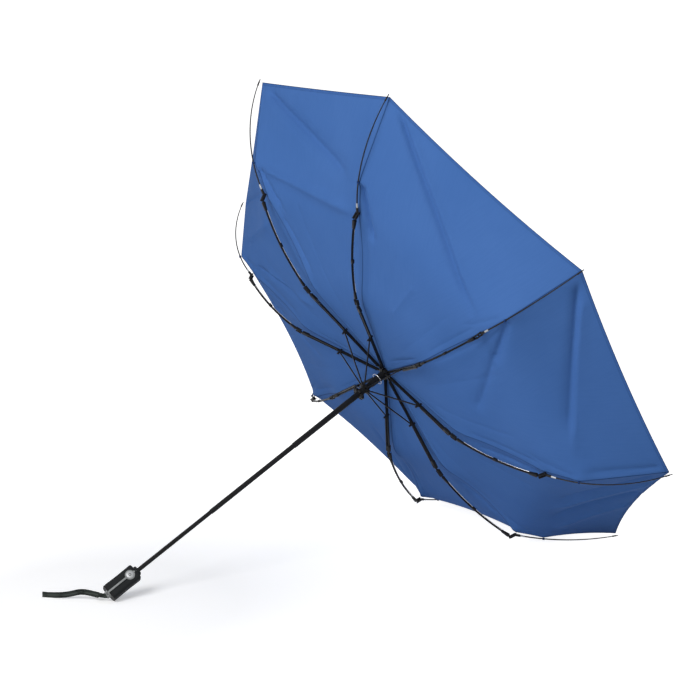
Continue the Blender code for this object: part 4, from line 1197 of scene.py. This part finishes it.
def cloth_grid(number, zone):
    """Grid laid on the cloth around one rib, and each point's normal."""
    low, high = ZONES[zone]
    half = GORE_COLUMNS // 2
    bm = bmesh.new()
    bmesh.ops.create_grid(bm, x_segments=2 * half, y_segments=high - low, size=1)
    uv_of, normals = {}, []
    for vertex in bm.verts:
        away = round(vertex.co.x * half)
        row = low + round((vertex.co.y + 1) / 2 * (high - low))
        column = ((number - 1) * GORE_COLUMNS + away) % cloth.shape[1]
        vertex.co = cloth[row, column]
        normals.append(cloth_normals[row, column])
        uv_of[vertex] = (away / GORE_COLUMNS * gore_width[number][row], from_hem[number][row])
    lay_uv(bm, "cloth", uv_of)
    return bm, normals


def add_cloth_piece(number, zone):
    bm, normals = cloth_grid(number, zone)
    bm.faces.ensure_lookup_table()
    bm.normal_update()
    if bm.faces[0].normal.dot(Vector(normals[bm.faces[0].verts[0].index])) < 0:
        bmesh.ops.reverse_faces(bm, faces=bm.faces[:])
    mesh = bpy.data.meshes.new(f"cloth_{zone}_{number}")
    bm.to_mesh(mesh)
    bm.free()
    mesh.shade_smooth()
    mesh.normals_split_custom_set_from_vertices(normals)
    mesh.materials.append(CLOTH)
    piece = new_object(f"cloth_{zone}_{number}", mesh)
    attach(piece, f"{zone}_{number}")
    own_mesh(piece)
    return piece


cloth_pieces = [add_cloth_piece(number, zone) for number in RIBS for zone in ZONES]
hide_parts("canopy")
print(len(cloth_pieces), "pieces of cloth")

# %% [markdown]
# ### Saying what the cloth is
# ### The cloth's flat size
# A flat size is worked out for each grid. The width is measured across the rib, and
# the length is the grid's own area over that width, with a little to spare for the creases.

# %% The cloth's flat size
SPARE_LENGTH = 1.02


def area_of(piece):
    return sum(polygon.area for polygon in piece.data.polygons)


for piece in cloth_pieces:
    number = int(piece.name[-1])
    across = [vertex.co.dot(sideways[number]) for vertex in piece.data.vertices]
    width = max(across) - min(across)
    area = area_of(piece)
    flat = (width, area / width * SPARE_LENGTH)
print("cloth area", round(sum(area_of(piece) for piece in cloth_pieces), 3), "m2, all declared")

# %% [markdown]
# ## The wrist strap
# The strap is one length of narrow webbing, folded back on itself and sewn at the lug, and it has
# fallen on its edge on the floor. It is one long narrow grid, laid out along the route, round the end
# and back beside itself, and it then gets its thickness from solidify. Each station of the route is its
# distance from the bar and the height of the webbing's lower edge over the floor.

# %% Route of the webbing
STRAP_ROUTE = (
    (0.0060, 0.0068), (0.0130, 0.0068), (0.0220, 0.0082), (0.0330, 0.0101), (0.0450, 0.0113),
    (0.0560, 0.0104), (0.0680, 0.0072), (0.0800, 0.0040), (0.0930, 0.0019), (0.1060, 0.0007),
    (0.1180, 0.0), (0.1290, 0.0),
)
STRAP_WIDTH, LAYER_GAP, WEB_THICKNESS = 0.0100, 0.0006, 0.0011
FLOOR_GAP, TWIST_LENGTH = 0.0003, 0.030
STRAP_HEADING = math.radians(132.5)
heading = Vector((math.cos(STRAP_HEADING), math.sin(STRAP_HEADING), 0))
bar = pin("strap_swing")
bar_line = Vector(joints["strap_swing"]["axis"]).normalized()
stations = [Vector(bar)]
for reach, lift in STRAP_ROUTE:
    spot = bar + heading * reach
    stations.append(Vector((spot.x, spot.y, FLOOR_GAP + lift + STRAP_WIDTH / 2)))


def route_at(share):
    """Smooth point at a share of the route, on a Catmull-Rom curve through the stations."""
    last = len(stations) - 1
    place = min(share * last, last - 1e-6)
    low = int(place)
    before, here, there, after = (stations[min(max(low + step, 0), last)] for step in (-1, 0, 1, 2))
    t = place - low
    return 0.5 * (
        2 * here + (there - before) * t + (2 * before - 5 * here + 4 * there - after) * t * t
        + (3 * here - before - 3 * there + after) * t**3
    )


length = sum((b - a).length for a, b in zip(stations, stations[1:]))
print("strap lies out to", round(length, 3), "m from its bar")

# %% Laying the webbing
ROUTE_STEPS, TURN_STEPS, WIDTH_STEPS = 60, 8, 6
MIDDLE_SLACK, END_SLACK = 0.0003, 0.0010


def lane(step):
    """Share along the route, side of the fold and how far round its end, for one step of the webbing."""
    if step <= ROUTE_STEPS:
        return step / ROUTE_STEPS, 1.0, 0.0
    if step <= ROUTE_STEPS + TURN_STEPS:
        angle = math.pi * (step - ROUTE_STEPS) / TURN_STEPS
        return 1.0, math.cos(angle), math.sin(angle)
    return 1 - (step - ROUTE_STEPS - TURN_STEPS) / ROUTE_STEPS, -1.0, 0.0


def upright_at(point):
    """The webbing's width direction: the bar's line at the lug, turning upright further out."""
    return bar_line.lerp(Vector((0, 0, 1)), min(1, (point - bar).xy.length / TWIST_LENGTH))


def make_strap():
    steps = 2 * ROUTE_STEPS + TURN_STEPS
    bm = bmesh.new()
    bmesh.ops.create_grid(bm, x_segments=steps, y_segments=WIDTH_STEPS, size=1)
    uv_of = {}
    for vertex in bm.verts:
        step, height = round((vertex.co.x + 1) / 2 * steps), vertex.co.y
        share, side, beyond = lane(step)
        point = route_at(share)
        direction = (route_at(min(share + 0.01, 1)) - route_at(max(share - 0.01, 0))).normalized()
        across = direction.cross(upright_at(point)).normalized()
        upright = across.cross(direction).normalized()
        slack = MIDDLE_SLACK * math.sin(math.pi * share) ** 2 + END_SLACK * share**8
        apart = (LAYER_GAP + slack) * side
        vertex.co = point + across * apart + direction * beyond * (LAYER_GAP + slack)
        vertex.co += upright * height * STRAP_WIDTH / 2
        uv_of[vertex] = (step * length / ROUTE_STEPS, height * STRAP_WIDTH / 2)
    lay_uv(bm, "webbing", uv_of)
    bmesh.ops.solidify(bm, geom=bm.faces[:], thickness=WEB_THICKNESS)
    return bm


def webbing_material():
    finish = Finish("webbing", 0.85, specular=0.15)
    place = finish.place("UV")
    split = finish.node("ShaderNodeSeparateXYZ")
    finish.link(place, split.inputs[0])
    off_middle = finish.sum_of(split.outputs["Y"], 0, "ABSOLUTE")
    dark = finish.mixed(finish.noise(300), (0.017, 0.021, 0.019), (0.030, 0.036, 0.032))
    stripe = finish.spread(off_middle, 0.8, 0.0, 0.0006, 0.0016)
    finish.colour(finish.mixed(stripe, dark, (0.062, 0.072, 0.066)))
    finish.bump(finish.sum_of(finish.wave(330.0, "X", place), finish.wave(420.0, "Y", place)), 0.6, 0.0004)
    return finish.material


strap = add_piece(
    "strap_webbing", make_strap(), webbing_material(), "strap_body", smooth_below=50
)
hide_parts("wrist_strap")
print("strap with", len(strap.data.polygons), "faces")

# %% [markdown]
# ### The strap's collar
# Where the two layers leave the lug, a sewn collar of the same webbing holds them together. It is a
# short block with rounded edges round both layers, and the fine bump of its material stands for its
# dense stitches.

# %% Collar at the lug


def strap_collar():
    first, last = route_at(0.115), route_at(0.20)
    size = (STRAP_WIDTH + 0.0006, 0.0042)
    return drawn_block(first, last, upright_at(first).normalized(), size, size, soft=0.0006)


def stitched_web():
    finish = Finish("stitched_web", 0.88, specular=0.15)
    finish.colour(finish.mixed(finish.noise(1400), (0.012, 0.014, 0.013), (0.028, 0.032, 0.029)))
    finish.bump(finish.noise(2600, 2), 0.7, 0.0004)
    return finish.material


add_piece("strap_collar", strap_collar(), stitched_web(), "strap_body")
print("collar at the lug")

# %% [markdown]
# ## The grip's front
# On the front of the grip a light inlay runs from the neck round the button and down to the lug. The
# model has its ring and its line; a short tab above the ring reaches the neck. The button's face has a
# small plain ring pressed into it. The front's direction is the way the button comes out.

# %% Tab and pressed ring
INLAY_DEPTH = 0.0014
front = -Vector(joints["button_press"]["axis"]).normalized()
across_grip = shaft_up.cross(front).normalized()
button_points = [vertex.co for vertex in frame["nodes"]["button"].data.vertices]
button_face = max(point.dot(front) for point in button_points)
button_middle = sum(button_points, Vector()) / len(button_points)
button_top = button_middle + front * (button_face - button_middle.dot(front))
inlay_face = max(vertex.co.dot(front) for vertex in frame["nodes"]["trim_inlay"].data.vertices)


def on_grip(higher, depth):
    """Place on the grip's front, higher than the button and depth below the inlay's face."""
    axis_point = hub + shaft_up * ((button_middle - hub).dot(shaft_up) + higher)
    return axis_point + front * (inlay_face - hub.dot(front) - depth)


def ring_round(axis, side, place, radius, wire, steps):
    """Closed ring round an axis through place: a small circle spun once round."""
    bm = bmesh.new()
    turned = Matrix((side, axis, side.cross(axis))).transposed().to_4x4()
    section = Matrix.Translation(place + side * radius) @ turned
    bmesh.ops.create_circle(bm, cap_ends=False, segments=8, radius=wire, matrix=section)
    around = bm.verts[:] + bm.edges[:]
    bmesh.ops.spin(bm, geom=around, cent=place, axis=axis, angle=math.tau, steps=steps, use_merge=True)
    return bm


# name, (height, depth) of both ends, width of both ends
for name, low_end, high_end, low_width, high_width in (
    ("inlay_tab", (0.0088, 0.0006), (0.0118, 0.0006), 0.0034, 0.0030),
    ("inlay_slope", (0.0114, 0.0007), (0.0152, 0.0036), 0.0030, 0.0026),
):
    near, far = (low_width, INLAY_DEPTH), (high_width, INLAY_DEPTH)
    mesh = drawn_block(on_grip(*low_end), on_grip(*high_end), across_grip, near, far, soft=0.0003)
    add_piece(name, mesh, GREY, "grip_body")
# name, radius, wire, how far below the button's top, material, slot
for name, radius, wire, below, material, slot in (
    ("button_ring", 0.0021, 0.00055, 0.0001, MOULDING, "black_plastic"),
    ("button_rim", 0.0066, 0.00030, 0.0014, GREY, "silver_paint"),
):
    mesh = ring_round(front, across_grip, button_top - front * below, radius, wire, 40)
    add_piece(name, mesh, material, "button_body")
print("button's top at", [round(x, 4) for x in button_top])

# %% [markdown]
# ## The runner's wire
# A ring of steel wire runs round the runner's crown, a little below the stretchers' pins. It is a small
# circle spun once round the shaft.

# %% The runner's wire
WIRE_BELOW_PINS, WIRE_RING_RADIUS, RING_WIRE_RADIUS = 0.0028, 0.0119, 0.0005
runner_middle = sum((pin(f"fold_stretcher_{number}") for number in RIBS), Vector()) / len(RIBS)
ring_place = runner_middle - shaft_up * WIRE_BELOW_PINS
mesh = ring_round(shaft_up, outward[1], ring_place, WIRE_RING_RADIUS, RING_WIRE_RADIUS, 64)
runner_wire = add_piece("runner_wire", mesh, STEEL, "runner_body")
print(runner_wire.name, "is", round((ring_place - hub).dot(shaft_up), 4), "m along the shaft from the hub")
